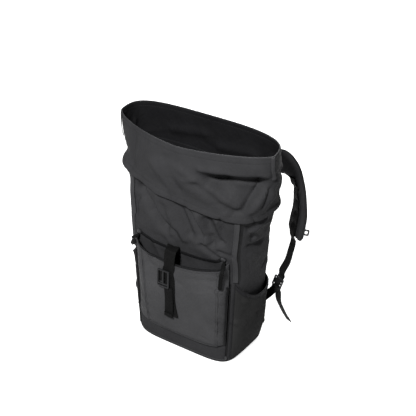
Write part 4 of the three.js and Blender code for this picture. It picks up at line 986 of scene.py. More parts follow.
def build_collar(cloth, m):
    s = round_columns()
    rise = np.linspace(0, 1, 44)[:, None]
    foot, head = hem_at(s), rim_at(s) - RIM_BAND_HEIGHT - GAP
    z = foot + (head - foot) * rise
    inside = collar_inside(s, z)
    above = z - foot
    turned = 0.7 / (1 + np.exp((above - 15) / 0.8)) - 1.0 * np.exp(-((above - 12) / 1.4) ** 2)
    shape = Shape()
    add_wall(shape, cloth.on(s, z, inside + COLLAR_CLOTH + turned), cloth.on(s, z, inside),
             uv_of(s, z), True, True)
    dress(shape.make("collar_cloth", m["collar"], m["lining"]), ["collar"])

    threads = Shape()
    around = stations(-HALF_GIRTH, HALF_GIRTH, 3)
    for above in (4.5, 12.0):
        row = hem_at(around) + above
        lay_thread(threads, cloth, around, row, collar_inside(around, row) + COLLAR_CLOTH + 0.45)
    for side in (1, -1):
        start = side * 292
        lay_tube(threads, cloth, start, stations(hem_at(start) + 2, rim_at(start) - RIM_BAND_HEIGHT - 2, 4),
                 GAP + COLLAR_CLOTH + 0.1, 0.9)
    dress(threads.make("collar_stitches", m["thread"]), [])


BAND_INSIDE = GAP - (RIM_BAND_CLOTH - COLLAR_CLOTH) / 2


def build_rim(cloth, m):
    s = round_columns()
    rise = np.linspace(0, 1, 8)[:, None]
    head = rim_at(s)
    z = head - RIM_BAND_HEIGHT * (1 - rise)
    plump = 0.25 * np.sin(math.pi * rise)
    shape = Shape()
    add_wall(shape, cloth.on(s, z, BAND_INSIDE + RIM_BAND_CLOTH + plump), cloth.on(s, z, BAND_INSIDE - plump),
             uv_of(s, z), True, True)
    dress(shape.make("rim_binding", m["collar"], m["lining"]), ["rim_band"])
    threads = Shape()
    around = stations(-HALF_GIRTH, HALF_GIRTH, 3)
    for down in (2.2, RIM_BAND_HEIGHT - 1.8):
        lay_thread(threads, cloth, around, rim_at(around) - down, BAND_INSIDE + RIM_BAND_CLOTH + 0.2)
        lay_thread(threads, cloth, around, rim_at(around) - down, BAND_INSIDE - 0.2)
    dress(threads.make("rim_stitches", m["thread"]), [])
    for name, side in SIDES:
        strip = Shape()
        start = side * RIM_STRIP_ROUND * HALF_GIRTH
        out = BAND_INSIDE + RIM_BAND_CLOTH + GAP * 1.5
        at, z = np.meshgrid(start + np.linspace(0, RIM_STRIP_WIDTH, 5),
                            stations(rim_at(start) - RIM_STRIP_LENGTH, rim_at(start), 3))
        add_patch(strip, cloth, at, z, out, out + TAPE)
        seam = stations(rim_at(start) - RIM_STRIP_LENGTH + 2, rim_at(start) - 2, 3)
        lay_thread(strip, cloth, start + 1.2, seam, out + TAPE)
        dress(strip.make(f"rim_tape_{name}", m["trim"]), [f"rim_strip_{name}"])


def pocket_wrinkle(s, z):
    """Creases of the pocket's cloth."""
    depth = np.zeros(np.broadcast(s, z).shape)
    for s0, z0, s1, z1, spread, deep in (
            (-84, 92, -62, 64, 5, -1.6), (-70, 108, -48, 72, 6, 1.0), (-20, 78, 40, 70, 7, -1.0),
            (60, 92, 96, 74, 6, -1.2), (104, 150, 121, 128, 4, -2.2), (104, 176, 121, 160, 4, 1.4),
            (104, 120, 121, 96, 4, -2.0), (104, 206, 121, 196, 5, -1.4), (104, 96, 121, 82, 4, 1.2),
            (-86, 250, -60, 270, 8, -1.2), (40, 262, 95, 276, 8, -1.4), (-112, 200, -96, 150, 6, -1.6),
            (-116, 130, -96, 100, 5, -1.6), (20, 240, 60, 190, 14, -0.8), (-60, 200, -40, 120, 14, 0.8)):
        depth += deep * segment_fall(s - s0, z - z0, s1 - s0, z1 - z0, spread)
    return depth


def on_pocket_face(s, z):
    return pocket_out(s, z) + pocket_wrinkle(s, z)


def pocket_height(s, share):
    return pocket_floor(s) + (pocket_mouth(s) - pocket_floor(s)) * share


def build_pocket(cloth, m):
    s = np.concatenate([stations(-POCKET_HALF, -SEAM_LEFT, 2.6)[:-1],
                        stations(-SEAM_LEFT, SEAM_RIGHT, 2.8)[:-1], stations(SEAM_RIGHT, POCKET_HALF, 1.8)])
    sewn = POCKET_BASE / (POCKET_MOUTH - POCKET_FLOOR)
    share = np.concatenate([[0, sewn, sewn * 1.1, sewn * 1.6], stations(sewn * 2.4, 1, 0.0135)])[:, None]
    z = pocket_height(s, share)
    out = on_pocket_face(s, z)
    inner = np.where(share <= sewn, 1.5 * GAP, np.maximum(1.5 * GAP, pocket_out(s, z) - POCKET_CLOTH))
    shape = Shape()
    add_wall(shape, cloth.on(s, z, out), cloth.on(s, z, inner), uv_of(s, z), lined=True)
    dress(shape.make("pocket_cloth", m["pocket"], m["lining"]), ["front_pocket"])

    piping, threads = Shape(), Shape()
    for seam, inward in ((-SEAM_LEFT, 1), (SEAM_RIGHT, -1)):
        up = stations(pocket_floor(seam) + 2, pocket_mouth(seam) - 1, 3)
        lay_tube(piping, cloth, seam, up, pocket_out(seam, up) + 0.1, size("piping_radius"))
        lay_thread(threads, cloth, seam + inward * 4, up, on_pocket_face(seam + inward * 4, up) + 0.15)
    along = stations(-SEAM_LEFT, SEAM_RIGHT, 3)
    foot = pocket_floor(along) + 1.2
    lay_tube(piping, cloth, along, foot, pocket_out(along, foot) + 0.5, 1.0)
    low = pocket_floor(along) + 7
    lay_thread(threads, cloth, along, low, on_pocket_face(along, low) + 0.15)
    lip = stations(1 - POCKET_HALF, POCKET_HALF - 1, 3)
    high = pocket_mouth(lip) - 5
    lay_thread(threads, cloth, lip, high, on_pocket_face(lip, high) + 0.15)
    lay_tube(piping, cloth, lip, pocket_mouth(lip) - 0.4, pocket_out(lip, pocket_mouth(lip)) - 0.3, 1.2)
    dress(piping.make("pocket_piping", m["trim"]), [])
    dress(threads.make("pocket_stitches", m["thread"]), [])


def add_teeth(shape, cloth, s, z, out, pitch=1.9):
    """Short bars across a zip's edge."""
    line = cloth.on(s, z, out)
    at = np.concatenate([[0], np.cumsum(np.linalg.norm(np.diff(line, axis=0), axis=1))])
    for d in np.arange(pitch, at[-1], pitch):
        p = np.array([np.interp(d, at, line[:, k]) for k in range(3)])
        q = np.array([np.interp(min(at[-1], d + 0.5), at, line[:, k]) for k in range(3)])
        ahead = unit(q - p + 1e-9)
        up = unit(np.cross(ahead, np.cross([0.0, -1.0, 0.2], ahead)))
        side = np.cross(up, ahead)
        first = len(shape.verts)
        for a, b, c in ((-1, -1, 0), (1, -1, 0), (1, 1, 0), (-1, 1, 0), (-0.6, -0.7, 1), (0.6, -0.7, 1),
                        (0.6, 0.7, 1), (-0.6, 0.7, 1)):
            shape.verts.append(tuple(p + ahead * 0.6 * a + side * 1.3 * b + up * 1.0 * c))
        for quad in ((3, 2, 1, 0), (4, 5, 6, 7), (0, 1, 5, 4), (1, 2, 6, 5), (2, 3, 7, 6), (3, 0, 4, 7)):
            shape.face([first + k for k in quad])


def build_zips(cloth, m):
    reach = POCKET_HALF - SLIDER_INSET - SLIDER_LONG
    s = stations(-reach, reach, 3)
    rise = np.array([GAP, 2.2, 4.4, ZIP_TAPE_WIDTH])[:, None]
    z = pocket_mouth(s) + rise
    middle = np.maximum(GAP + TAPE, pocket_out(s, z)) - POCKET_CLOTH / 2
    edge = Shape()
    add_patch(edge, cloth, s, z, middle - TAPE / 2, middle + TAPE / 2)
    add_teeth(edge, cloth, s, z[-1], middle[-1] - 0.3)
    dress(edge.make("pocket_zip_front", m["zip"]), ["pocket_zip_edge"])

    s = stations(REAR_TAPE_INSET - POCKET_HALF, POCKET_HALF - REAR_TAPE_INSET, 3)
    z = rear_tape_foot(s) + np.linspace(0, ZIP_TAPE_WIDTH, 4)[:, None]
    rear = Shape()
    add_patch(rear, cloth, s, z, GAP, GAP + TAPE)
    add_teeth(rear, cloth, s, z[0] + 0.8, GAP + TAPE - 0.4)
    dress(rear.make("pocket_zip_rear", m["zip"]), ["pocket_zip_body"])

    z = stations(POCKET_FLOOR + FLOOR_RISE, QUICK_ZIP_HEAD, 3)[:, None]
    s = POCKET_HALF - 1 - QUICK_TAPE + np.linspace(0, QUICK_TAPE, 4)
    lip = Shape()
    add_patch(lip, cloth, s, z, pocket_out(s, z) + 2 * GAP, pocket_out(s, z) + 2 * GAP + TAPE)
    row = POCKET_HALF - 1.6
    add_teeth(lip, cloth, row, z[:, 0], pocket_out(row, z[:, 0]) + 2 * GAP + TAPE - 0.3)
    dress(lip.make("quick_zip_front", m["zip"]), ["quick_zip_lip"])
    z = stations(QUICK_ZIP_FOOT, QUICK_ZIP_HEAD, 3)[:, None]
    rear = Shape()
    add_patch(rear, cloth, POCKET_HALF + 1 + np.linspace(0, QUICK_TAPE, 4), z, GAP, GAP + TAPE)
    add_teeth(rear, cloth, POCKET_HALF + 2, z[:, 0], GAP + TAPE - 0.3)
    dress(rear.make("quick_zip_rear", m["zip"]), ["quick_zip_body"])


def slider_along(side):
    return side * (POCKET_HALF - SLIDER_INSET - SLIDER_LONG / 2)


def slider_foot(side):
    return rear_tape_foot(slider_along(side)) + (ZIP_TAPE_WIDTH - SLIDER_WIDE) / 2


def build_slider(name, node, at, ahead, up, long, wide, m):
    """A zip slider: two shield-shaped plates, a post between them and a bridge over the upper one."""
    ahead, up = unit(ahead), unit(up)
    up = unit(up - ahead * np.dot(up, ahead))
    side = np.cross(up, ahead)
    shape = Shape()
    outline = [(-0.5, 0.34), (-0.5, -0.34), (-0.38, -0.42), (0.1, -0.5), (0.38, -0.44),
               (0.5, -0.2), (0.5, 0.2), (0.38, 0.44), (0.1, 0.5), (-0.38, 0.42)]

    def point(a, b, c):
        return at + ahead * a * long + side * b * wide + up * c

    for low, high, shrink in ((-1.7, -0.8, 1.0), (0.2, 1.1, 1.0)):
        rings = [[point(a * k, b * k, c) for a, b in outline]
                 for c, k in ((low, 0.9), (low + 0.25, shrink), (high - 0.3, shrink), (high, 0.88))]
        first = shape.grid(np.array(rings), np.zeros((4, 10, 2)), wrap_columns=True)
        shape.face([first + k for k in range(10)])
        shape.face([first + 30 + k for k in range(10)])
    corners = ((0.2, 0.12), (0.2, -0.12), (0.42, -0.12), (0.42, 0.12))
    post = [[point(a, b, c) for a, b in corners] for c in (-0.9, 0.3)]
    first = shape.grid(np.array(post), np.zeros((2, 4, 2)), wrap_columns=True)
    shape.face([first + k for k in range(4)])
    shape.face([first + 4 + k for k in range(4)])
    arch = np.array([point(0.34 * math.cos(t), 0, 0.9 + 1.1 * math.sin(t))
                     for t in np.linspace(0, math.pi, 12)])
    add_band(shape, arch, side, wide * 0.26, 0.7)
    dress(shape.make(name, m["slider"]), [node])


def build_pulls(cloth, m):
    """Sliders and fabric tabs at both ends of the pocket's zip, and the slider of the quick-access zip."""
    for name, side in SIDES:
        s, foot = slider_along(side), slider_foot(side)
        out = GAP + TAPE + GAP + SLIDER_THICK / 2
        at = cloth.on(s, foot + SLIDER_WIDE / 2, out)
        ahead = cloth.on(s + 2, foot + SLIDER_WIDE / 2, out) - cloth.on(s - 2, foot + SLIDER_WIDE / 2, out)
        up = cloth.on(s, foot + SLIDER_WIDE / 2, out + 1) - at
        build_slider(f"zip_runner_{name}", f"zip_slider_{name}", at, ahead * side, up,
                     SLIDER_LONG, SLIDER_WIDE, m)

        lean = math.radians(PULL_LEAN_RIGHT if side > 0 else PULL_LEAN_LEFT)
        head = foot - SLIDER_THICK / 2
        points = []
        for fall, away in ((0, 0), (0.12, 0.10), (0.40, 0.08), (0.70, 0.06), (1.0, 0.05)):
            along = s + side * fall * PULL_LENGTH * math.sin(lean)
            z = head - fall * PULL_LENGTH * math.cos(lean)
            clear = pocket_out(along, z) + 4 * GAP + PULL_THICK if fall else out
            points.append(cloth.on(along, z, max(clear, out) + away * PULL_LENGTH))
        path, _ = smooth_path(points, 40)
        across = cloth.on(s + 1, head, 0) - cloth.on(s - 1, head, 0)
        tab = Shape()

        def tab_section(share):
            widening = 0.45 + 0.55 * min(1, share / 0.16)
            narrowing = 1 - 0.25 * max(0, (share - 0.97) / 0.03)
            return band_section(PULL_WIDTH * widening * narrowing, PULL_THICK)

        add_sweep(tab, path, across, tab_section)
        ups = np.cross(np.gradient(path, axis=0), np.broadcast_to(across, path.shape))
        ups = unit(ups) * -np.sign(np.sum(ups * up, axis=1, keepdims=True)) * -1
        stitched = path[10:]
        for aside in (-PULL_WIDTH / 2 + 1.4, PULL_WIDTH / 2 - 1.4):
            seam = stitched + unit(across) * aside + ups[10:] * PULL_THICK / 2
            add_thread(tab, seam, ups[10:], 0.35, 3.0, 2.1)
        loop = np.array([cloth.on(s, head + 2.5, out + 1.6), cloth.on(s - 1.6, head - 1, out + 3.4),
                         cloth.on(s - 1.4, head - 6, out + 6), cloth.on(s + 1.4, head - 6, out + 6),
                         cloth.on(s + 1.6, head - 1, out + 3.4), cloth.on(s, head + 2.5, out + 1.6)])
        add_tube(tab, smooth_path(loop, 24)[0], np.broadcast_to(unit(up), (25, 3)), 0.75)
        dress(tab.make(f"pull_tab_{name}", m["webbing"]), [f"zip_pull_{name}"])
    s = POCKET_HALF + 0.5 + SLIDER_WIDE * 0.35
    z = QUICK_ZIP_FOOT + 2 + SLIDER_LONG / 2
    out = GAP + TAPE + GAP + SLIDER_THICK / 2
    build_slider("quick_runner", "quick_zip_slider", cloth.on(s, z, out), [0, 0, 1.0],
                 cloth.on(s, z, out + 1) - cloth.on(s, z, out), SLIDER_LONG, SLIDER_WIDE * 0.7, m)


def build_covers(cloth, m):
    for name, side in SIDES:
        head = min(hem_at(side * COVER_START), hem_at(side * (COVER_START + COVER_WIDTH))) - 2 * GAP
        z = stations(COVER_FOOT, head, 3)[:, None]
        lean = COVER_LEAN * (z - COVER_FOOT) / (head - COVER_FOOT)
        share = np.linspace(0, 1, 7)
        s = side * (COVER_START + share * COVER_WIDTH - lean)
        proud = 2.4 * share**2
        strip = Shape()
        add_patch(strip, cloth, s, z, 2 * GAP + proud * 0.8, 2 * GAP + COVER_CLOTH + proud)
        seam = side * (COVER_START + 2.2 - lean[:, 0])
        lay_thread(strip, cloth, seam, z[:, 0], 2 * GAP + COVER_CLOTH + 0.2)
        dress(strip.make(f"side_flap_{name}", m["trim"]), [f"side_zip_cover_{name}"])
        # The zip beside each flap, 9 mm wide and near black: partly the zip's tape, partly painted shade in
        # the gap beside the flap
        tape = Shape()
        s = side * (COVER_START + COVER_WIDTH - 1.5 + np.linspace(0, 9, 5) - lean)
        add_patch(tape, cloth, s, z, 0.15, 0.6)
        dress(tape.make(f"side_zip_{name}", m["zip"]), [])


def build_bottle_pockets(cloth, m):
    k = np.linspace(0, 1, 56)
    along = BOTTLE_FRONT + (BOTTLE_BACK - BOTTLE_FRONT) * k
    low = np.clip((BOTTLE_LOW - k) / BOTTLE_LOW, 0, 1)
    high = np.clip((k - BOTTLE_LOW) / (1 - BOTTLE_LOW), 0, 1)
    hem = BOTTLE_HEM + BOTTLE_FRONT_RISE * low**2 + BOTTLE_BACK_RISE * high**2
    for name, side in SIDES:
        shape = Shape()
        rise = np.concatenate([[0, 0.02, 0.044, 0.05], stations(0.07, 1, 0.02)])[:, None]
        z = BOTTLE_FOOT + (hem - BOTTLE_FOOT) * rise
        swell = BOTTLE_BULGE * np.sin(math.pi * k).clip(0) ** 0.6 * np.minimum(1, 0.15 + rise * 2.4)
        inner = GAP + np.where(rise < 0.045, 0, swell)
        outer = GAP + STRETCH_CLOTH + swell
        add_wall(shape, cloth.on(side * along, z, outer), cloth.on(side * along, z, inner),
                 uv_of(side * along, z), lined=True)
        dress(shape.make(f"bottle_sleeve_{name}", m["stretch"], m["lining"]), [f"bottle_pocket_{name}"])
        binding = Shape()
        z = hem + np.array([-11, -8, -4, -0.5, 0.8])[:, None]
        swell = BOTTLE_BULGE * np.sin(math.pi * k).clip(0) ** 0.6
        add_patch(binding, cloth, side * along, z, GAP + swell - 0.3 * (swell > 0.5),
                  GAP + STRETCH_CLOTH + swell + 0.6)
        lay_thread(binding, cloth, side * along, hem - 9, GAP + STRETCH_CLOTH + swell + 0.8)
        dress(binding.make(f"bottle_hem_{name}", m["trim_dark"]), [])
        edges = Shape()
        for end in (0, -1):
            up = stations(BOTTLE_FOOT + 1, hem[end] - 1, 3)
            lay_tube(edges, cloth, side * along[end], up, GAP + STRETCH_CLOTH, 1.2)
        dress(edges.make(f"bottle_seams_{name}", m["trim_dark"]), [])


REAR_TAPE_MIDDLE = float(rear_tape_foot(-MOUTH_SWAY))
BUCKLE_HEAD = BUCKLE_MIDDLE + BUCKLE_HEIGHT / 2
BUCKLE_FOOT = BUCKLE_MIDDLE - BUCKLE_HEIGHT / 2


def closure_route():
    over_tape = GAP + TAPE + 2 * GAP + WEBBING / 2
    edge_head = POCKET_MOUTH + ZIP_TAPE_WIDTH
    below = (BUCKLE_FOOT + TAIL_FOOT) / 2
    return [
        (-15, CLOSURE_ROOT, STRAP_ON + GAP),
        (-15, REAR_TAPE_MIDDLE - 4, STRAP_ON + GAP),
        (-15, REAR_TAPE_MIDDLE - 0.5, over_tape),
        (-14, max(CLOSURE_ARCH - 6, REAR_TAPE_MIDDLE + ZIP_TAPE_WIDTH), over_tape),
        (-13, CLOSURE_ARCH - 1.5, over_tape + 2),
        (-10, CLOSURE_ARCH, over_tape + POCKET_DEPTH * 0.3),
        (-6, CLOSURE_ARCH + 1, on_pocket(-6, POCKET_MOUTH) - 2),
        (-5, CLOSURE_ARCH - 2.5, on_pocket(-5, POCKET_MOUTH) + 2),
        (-7, (edge_head + CLOSURE_ARCH) / 2, on_pocket(-7, POCKET_MOUTH) + 2.2),
        (-10, edge_head, on_pocket(-10, POCKET_MOUTH) + 1),
        (-12, POCKET_MOUTH - 10, on_pocket(-12, POCKET_MOUTH - 10)),
        (CLOSURE_ALONG, BUCKLE_HEAD, on_pocket(CLOSURE_ALONG, BUCKLE_HEAD)),
        (CLOSURE_ALONG, BUCKLE_MIDDLE, on_pocket(CLOSURE_ALONG, BUCKLE_MIDDLE)),
        (-12, BUCKLE_FOOT, on_pocket(-12, BUCKLE_FOOT)),
        (-12, below, on_pocket(-12, below)),
        (-6, TAIL_FOOT - 3, on_pocket(-6, TAIL_FOOT - 3)),
    ]


def edge_stitches(shape, path, across, width, thick, first=0, last=None, up=(0, -1, 0.2)):
    """Two rows of stitches on the face of a strap that looks up."""
    part = path[first:last]
    ahead = unit(np.gradient(part, axis=0))
    ups = unit(np.cross(ahead, np.broadcast_to(across, part.shape)))
    ups *= np.where(np.sum(ups * np.asarray(up), axis=1, keepdims=True) < 0, -1, 1)
    for aside in (-width / 2 + 2.2, width / 2 - 2.2):
        add_thread(shape, part + unit(across) * aside + ups * thick / 2, ups, 0.4, 3.6, 2.6)


def build_closure(cloth, m):
    across = unit(cloth.on(CLOSURE_ALONG + CLOSURE_WIDTH / 2, POCKET_MOUTH)
                  - cloth.on(CLOSURE_ALONG - CLOSURE_WIDTH / 2, POCKET_MOUTH))
    path, _ = smooth_path([cloth.on(*row) for row in closure_route()], 150)
    strap = Shape()
    add_band(strap, path, across, CLOSURE_WIDTH, WEBBING)
    dress(strap.make("front_strap", m["webbing"]), ["closure_strap"])

    head = BUCKLE_FOOT - GAP
    rows = [(-14, head, 0), (-13, (head + TAIL_FOOT) / 2, 1.5), (-15, TAIL_FOOT, 3.5)]
    points = [cloth.on(s, z, on_pocket(s, z) + WEBBING + GAP + lift) for s, z, lift in rows]
    path, _ = smooth_path(points, 40)
    tail = Shape()
    add_band(tail, path, across, CLOSURE_WIDTH - 5, WEBBING)
    folded = path[-6:] + unit(np.cross(across, path[-1] - path[-2])) * -1.6
    add_band(tail, folded, across, CLOSURE_WIDTH - 5, WEBBING)
    dress(tail.make("front_strap_tail", m["webbing"]), ["closure_tail"])

    tab = Shape()
    s = np.linspace(BUCKLE_ASIDE - BUCKLE_WIDTH / 2 + 2, CLOSURE_ALONG - CLOSURE_WIDTH / 2 - GAP, 5)
    z = stations(BUCKLE_MIDDLE - BUCKLE_HEIGHT * 0.3, BUCKLE_MIDDLE + BUCKLE_HEIGHT * 0.32, 3)[:, None]
    add_patch(tab, cloth, s, z, pocket_out(s, z) + 0.2, pocket_out(s, z) + 0.2 + WEBBING)
    dress(tab.make("buckle_tab", m["webbing"]), [])

    lift = GAP + WEBBING + GAP + BUCKLE_THICK / 2
    head_out = on_pocket(BUCKLE_ASIDE, BUCKLE_HEAD) - STRAP_ON + lift
    foot_out = on_pocket(BUCKLE_ASIDE, BUCKLE_FOOT) - STRAP_ON + lift + BUCKLE_TILT
    top = cloth.on(BUCKLE_ASIDE, BUCKLE_HEAD, head_out)
    foot = cloth.on(BUCKLE_ASIDE, BUCKLE_FOOT, foot_out)
    w, h = BUCKLE_WIDTH / 2, BUCKLE_HEIGHT / 2
    low = -h + BUCKLE_BAR
    xs = [-w, -w + BUCKLE_BAR, -BUCKLE_BAR / 2, BUCKLE_BAR / 2, w - BUCKLE_BAR, w]
    ys = [-h, low, low + BUCKLE_SLOT, low + BUCKLE_SLOT + BUCKLE_BAR * 0.7, h - BUCKLE_BAR * 0.7, h]
    windows = [(1, 3), (3, 3), (1, 1), (2, 1), (3, 1)]
    buckle = bar_frame("front_buckle", m["buckle"], xs, ys, windows, BUCKLE_THICK,
                       placement((top + foot) / 2, across, top - foot), corner=4.0)
    dress(buckle, ["closure_buckle"])


def placement(at, across, up):
    """Matrix of a place in millimetres: x along across, y as near to up as it can be."""
    x = unit(across)
    y = unit(np.asarray(up, float) - x * np.dot(up, x))
    return np.column_stack([x, y, np.cross(x, y), np.asarray(at, float)])


def bar_frame(name, material, xs, ys, windows, thick, place, corner=3.0, edge=0.7, flip=False):
    """A flat frame of bars with rounded corners and edges: cells between xs and ys, without the windows."""
    bm = bmesh.new()
    made = {}

    def corner_at(c, r, f):
        if (c, r, f) not in made:
            made[c, r, f] = bm.verts.new((xs[c], ys[r], (f - 0.5) * thick))
        return made[c, r, f]

    def is_filled(c, r):
        return 0 <= c < len(xs) - 1 and 0 <= r < len(ys) - 1 and (c, r) not in windows

    for r in range(len(ys) - 1):
        for c in range(len(xs) - 1):
            if not is_filled(c, r):
                continue
            around = ((c, r), (c + 1, r), (c + 1, r + 1), (c, r + 1))
            bm.faces.new([corner_at(*at, 1) for at in around])
            bm.faces.new([corner_at(*at, 0) for at in (around[0], around[3], around[2], around[1])])
            for step, (a, b) in (((0, -1), ((c, r), (c + 1, r))), ((0, 1), ((c + 1, r + 1), (c, r + 1))),
                                 ((-1, 0), ((c, r + 1), (c, r))), ((1, 0), ((c + 1, r), (c + 1, r + 1)))):
                if not is_filled(c + step[0], r + step[1]):
                    bm.faces.new([corner_at(*a, 0), corner_at(*b, 0), corner_at(*b, 1), corner_at(*a, 1)])
    bm.normal_update()
    bmesh.ops.dissolve_limit(bm, angle_limit=0.01, verts=bm.verts, edges=bm.edges)

    def is_corner(e, convex):
        upright = abs(e.verts[0].co.z - e.verts[1].co.z) > thick / 2
        return upright and len(e.link_faces) == 2 and e.calc_face_angle(0) > 0.5 and e.is_convex == convex

    for convex, size in ((True, corner), (False, min(1.4, corner * 0.4))):
        corners = [e for e in bm.edges if is_corner(e, convex)]
        bmesh.ops.bevel(bm, geom=corners, offset=size, segments=5, profile=0.5, affect="EDGES")
    rims = [e for e in bm.edges if len(e.link_faces) == 2 and e.calc_face_angle(0) > 1.0
            and abs(e.verts[0].co.z - e.verts[1].co.z) < 0.1]
    bmesh.ops.bevel(bm, geom=rims, offset=edge, segments=3, profile=0.5, affect="EDGES")
    matrix = Matrix([[*(place[k] * MM)] for k in range(3)] + [[0, 0, 0, 1]])
    bm.transform(matrix)
    if flip:
        bm.transform(Matrix.Diagonal((-1, 1, 1, 1)))
    bmesh.ops.recalc_face_normals(bm, faces=bm.faces)
    mesh = bpy.data.meshes.new(name)
    bm.to_mesh(mesh)
    bm.free()
    mesh.materials.append(material)
    mesh.shade_smooth()
    mesh.set_sharp_from_angle(angle=math.radians(32))
    obj = bpy.data.objects.new(name, mesh)
    bpy.context.scene.collection.objects.link(obj)
    return obj


def build_back(cloth, m):
    x = stations(-PAD_HALF, PAD_HALF, 2.6)
    z = stations(PAD_FOOT, PAD_HEAD, 3.2)[:, None]
    out = pad_out(x, z)
    inward = np.minimum(PAD_HALF - np.abs(x), np.minimum(z - PAD_FOOT, PAD_HEAD - z))
    fade = np.clip(inward / PAD_SHOULDER, 0, 1)
    aside = np.abs(x) - PAD_CHANNEL_ASIDE
    sewn = np.exp(-(aside / 4.0) ** 2)
    for level in PAD_CHANNELS:
        across = np.exp(-((z - level - PAD_CHANNEL_RISE * aside) / 4.5) ** 2)
        sewn = np.maximum(sewn, across * np.clip((aside + 2) / 6, 0, 1))
    out = GAP + (out - GAP) * (1 - 0.55 * sewn * fade)
    pad = Shape()
    add_wall(pad, cloth.behind(x, z, out), cloth.behind(x, z, GAP), uv_of(x, z))
    dress(pad.make("back_panel", m["mesh"]), ["back_pad"])
    rim = Shape()
    loop = [(-PAD_HALF, PAD_FOOT), (PAD_HALF, PAD_FOOT), (PAD_HALF, PAD_HEAD), (-PAD_HALF, PAD_HEAD)]
    for (xa, za), (xb, zb) in zip(loop, loop[1:] + loop[:1]):
        share = np.linspace(0, 1, 60)
        lx, lz = xa + (xb - xa) * share, za + (zb - za) * share
        points = cloth.behind(lx, lz, GAP + 1.6)
        add_tube(rim, points, points - cloth.behind(lx, lz, GAP + 0.6), 2.0)
    dress(rim.make("back_panel_binding", m["trim_dark"]), [])

    free = HANDLE_HALF - HANDLE_SEWN
    rows = [(-HANDLE_HALF, 0), (-free, 0), (-free * 0.86, 0.3), (-free * 0.5, 0.85), (0, 1),
            (free * 0.5, 0.85), (free * 0.86, 0.3), (free, 0), (HANDLE_HALF, 0)]
    path, _ = smooth_path([cloth.behind(x, HANDLE_HEIGHT, STRAP_ON + share * HANDLE_REACH)
                           for x, share in rows], 70)
    handle = Shape()
    add_band(handle, path, (0, 0, 1), HANDLE_WIDTH, WEBBING)
    edge_stitches(handle, path, np.array([0, 0, 1.0]), HANDLE_WIDTH, WEBBING, up=(0, 1, 0))
    dress(handle.make("carry_loop", m["webbing"]), ["grab_handle"])

    rows = [(REAR_STRAP_HEAD, STRAP_ON + GAP), (PAD_HEAD + 7, STRAP_ON + GAP),
            (PAD_HEAD + 0.4, GAP + PAD_THICK * PAD_EDGE + STRAP_ON + 1.2)]
    for z, lift in ((PAD_HEAD - PAD_SHOULDER * 0.3, 0.6), (PAD_HEAD - PAD_SHOULDER, 0),
                    *((z, 0) for z in np.linspace(REAR_STRAP_KNEE, REAR_STRAP_FOOT, 5))):
        rows.append((z, float(pad_out(0, z)) + STRAP_ON + lift))
    path, _ = smooth_path([cloth.behind(0, z, out) for z, out in rows], 90)
    strap = Shape()
    add_band(strap, path, (1, 0, 0), CLOSURE_WIDTH, WEBBING)
    dress(strap.make("back_strap", m["webbing"]), ["rear_strap"])
    w, h = HOOK_WIDTH / 2, HOOK_HEIGHT / 2
    out = pad_out(0, REAR_STRAP_FOOT) + GAP + WEBBING + GAP + HOOK_THICK / 2
    at = cloth.behind(0, REAR_STRAP_FOOT, out)
    hook = bar_frame("back_hook", m["buckle"], [-w, -w + HOOK_BAR, w - HOOK_BAR, w],
                     [-h, -h + HOOK_BAR, -HOOK_BAR / 2, HOOK_BAR / 2, h - HOOK_BAR, h],
                     [(1, 1), (1, 3)], HOOK_THICK, placement(at, (-1, 0, 0), (0, 0, 1)), corner=4.0)
    dress(hook, ["rear_hook"])


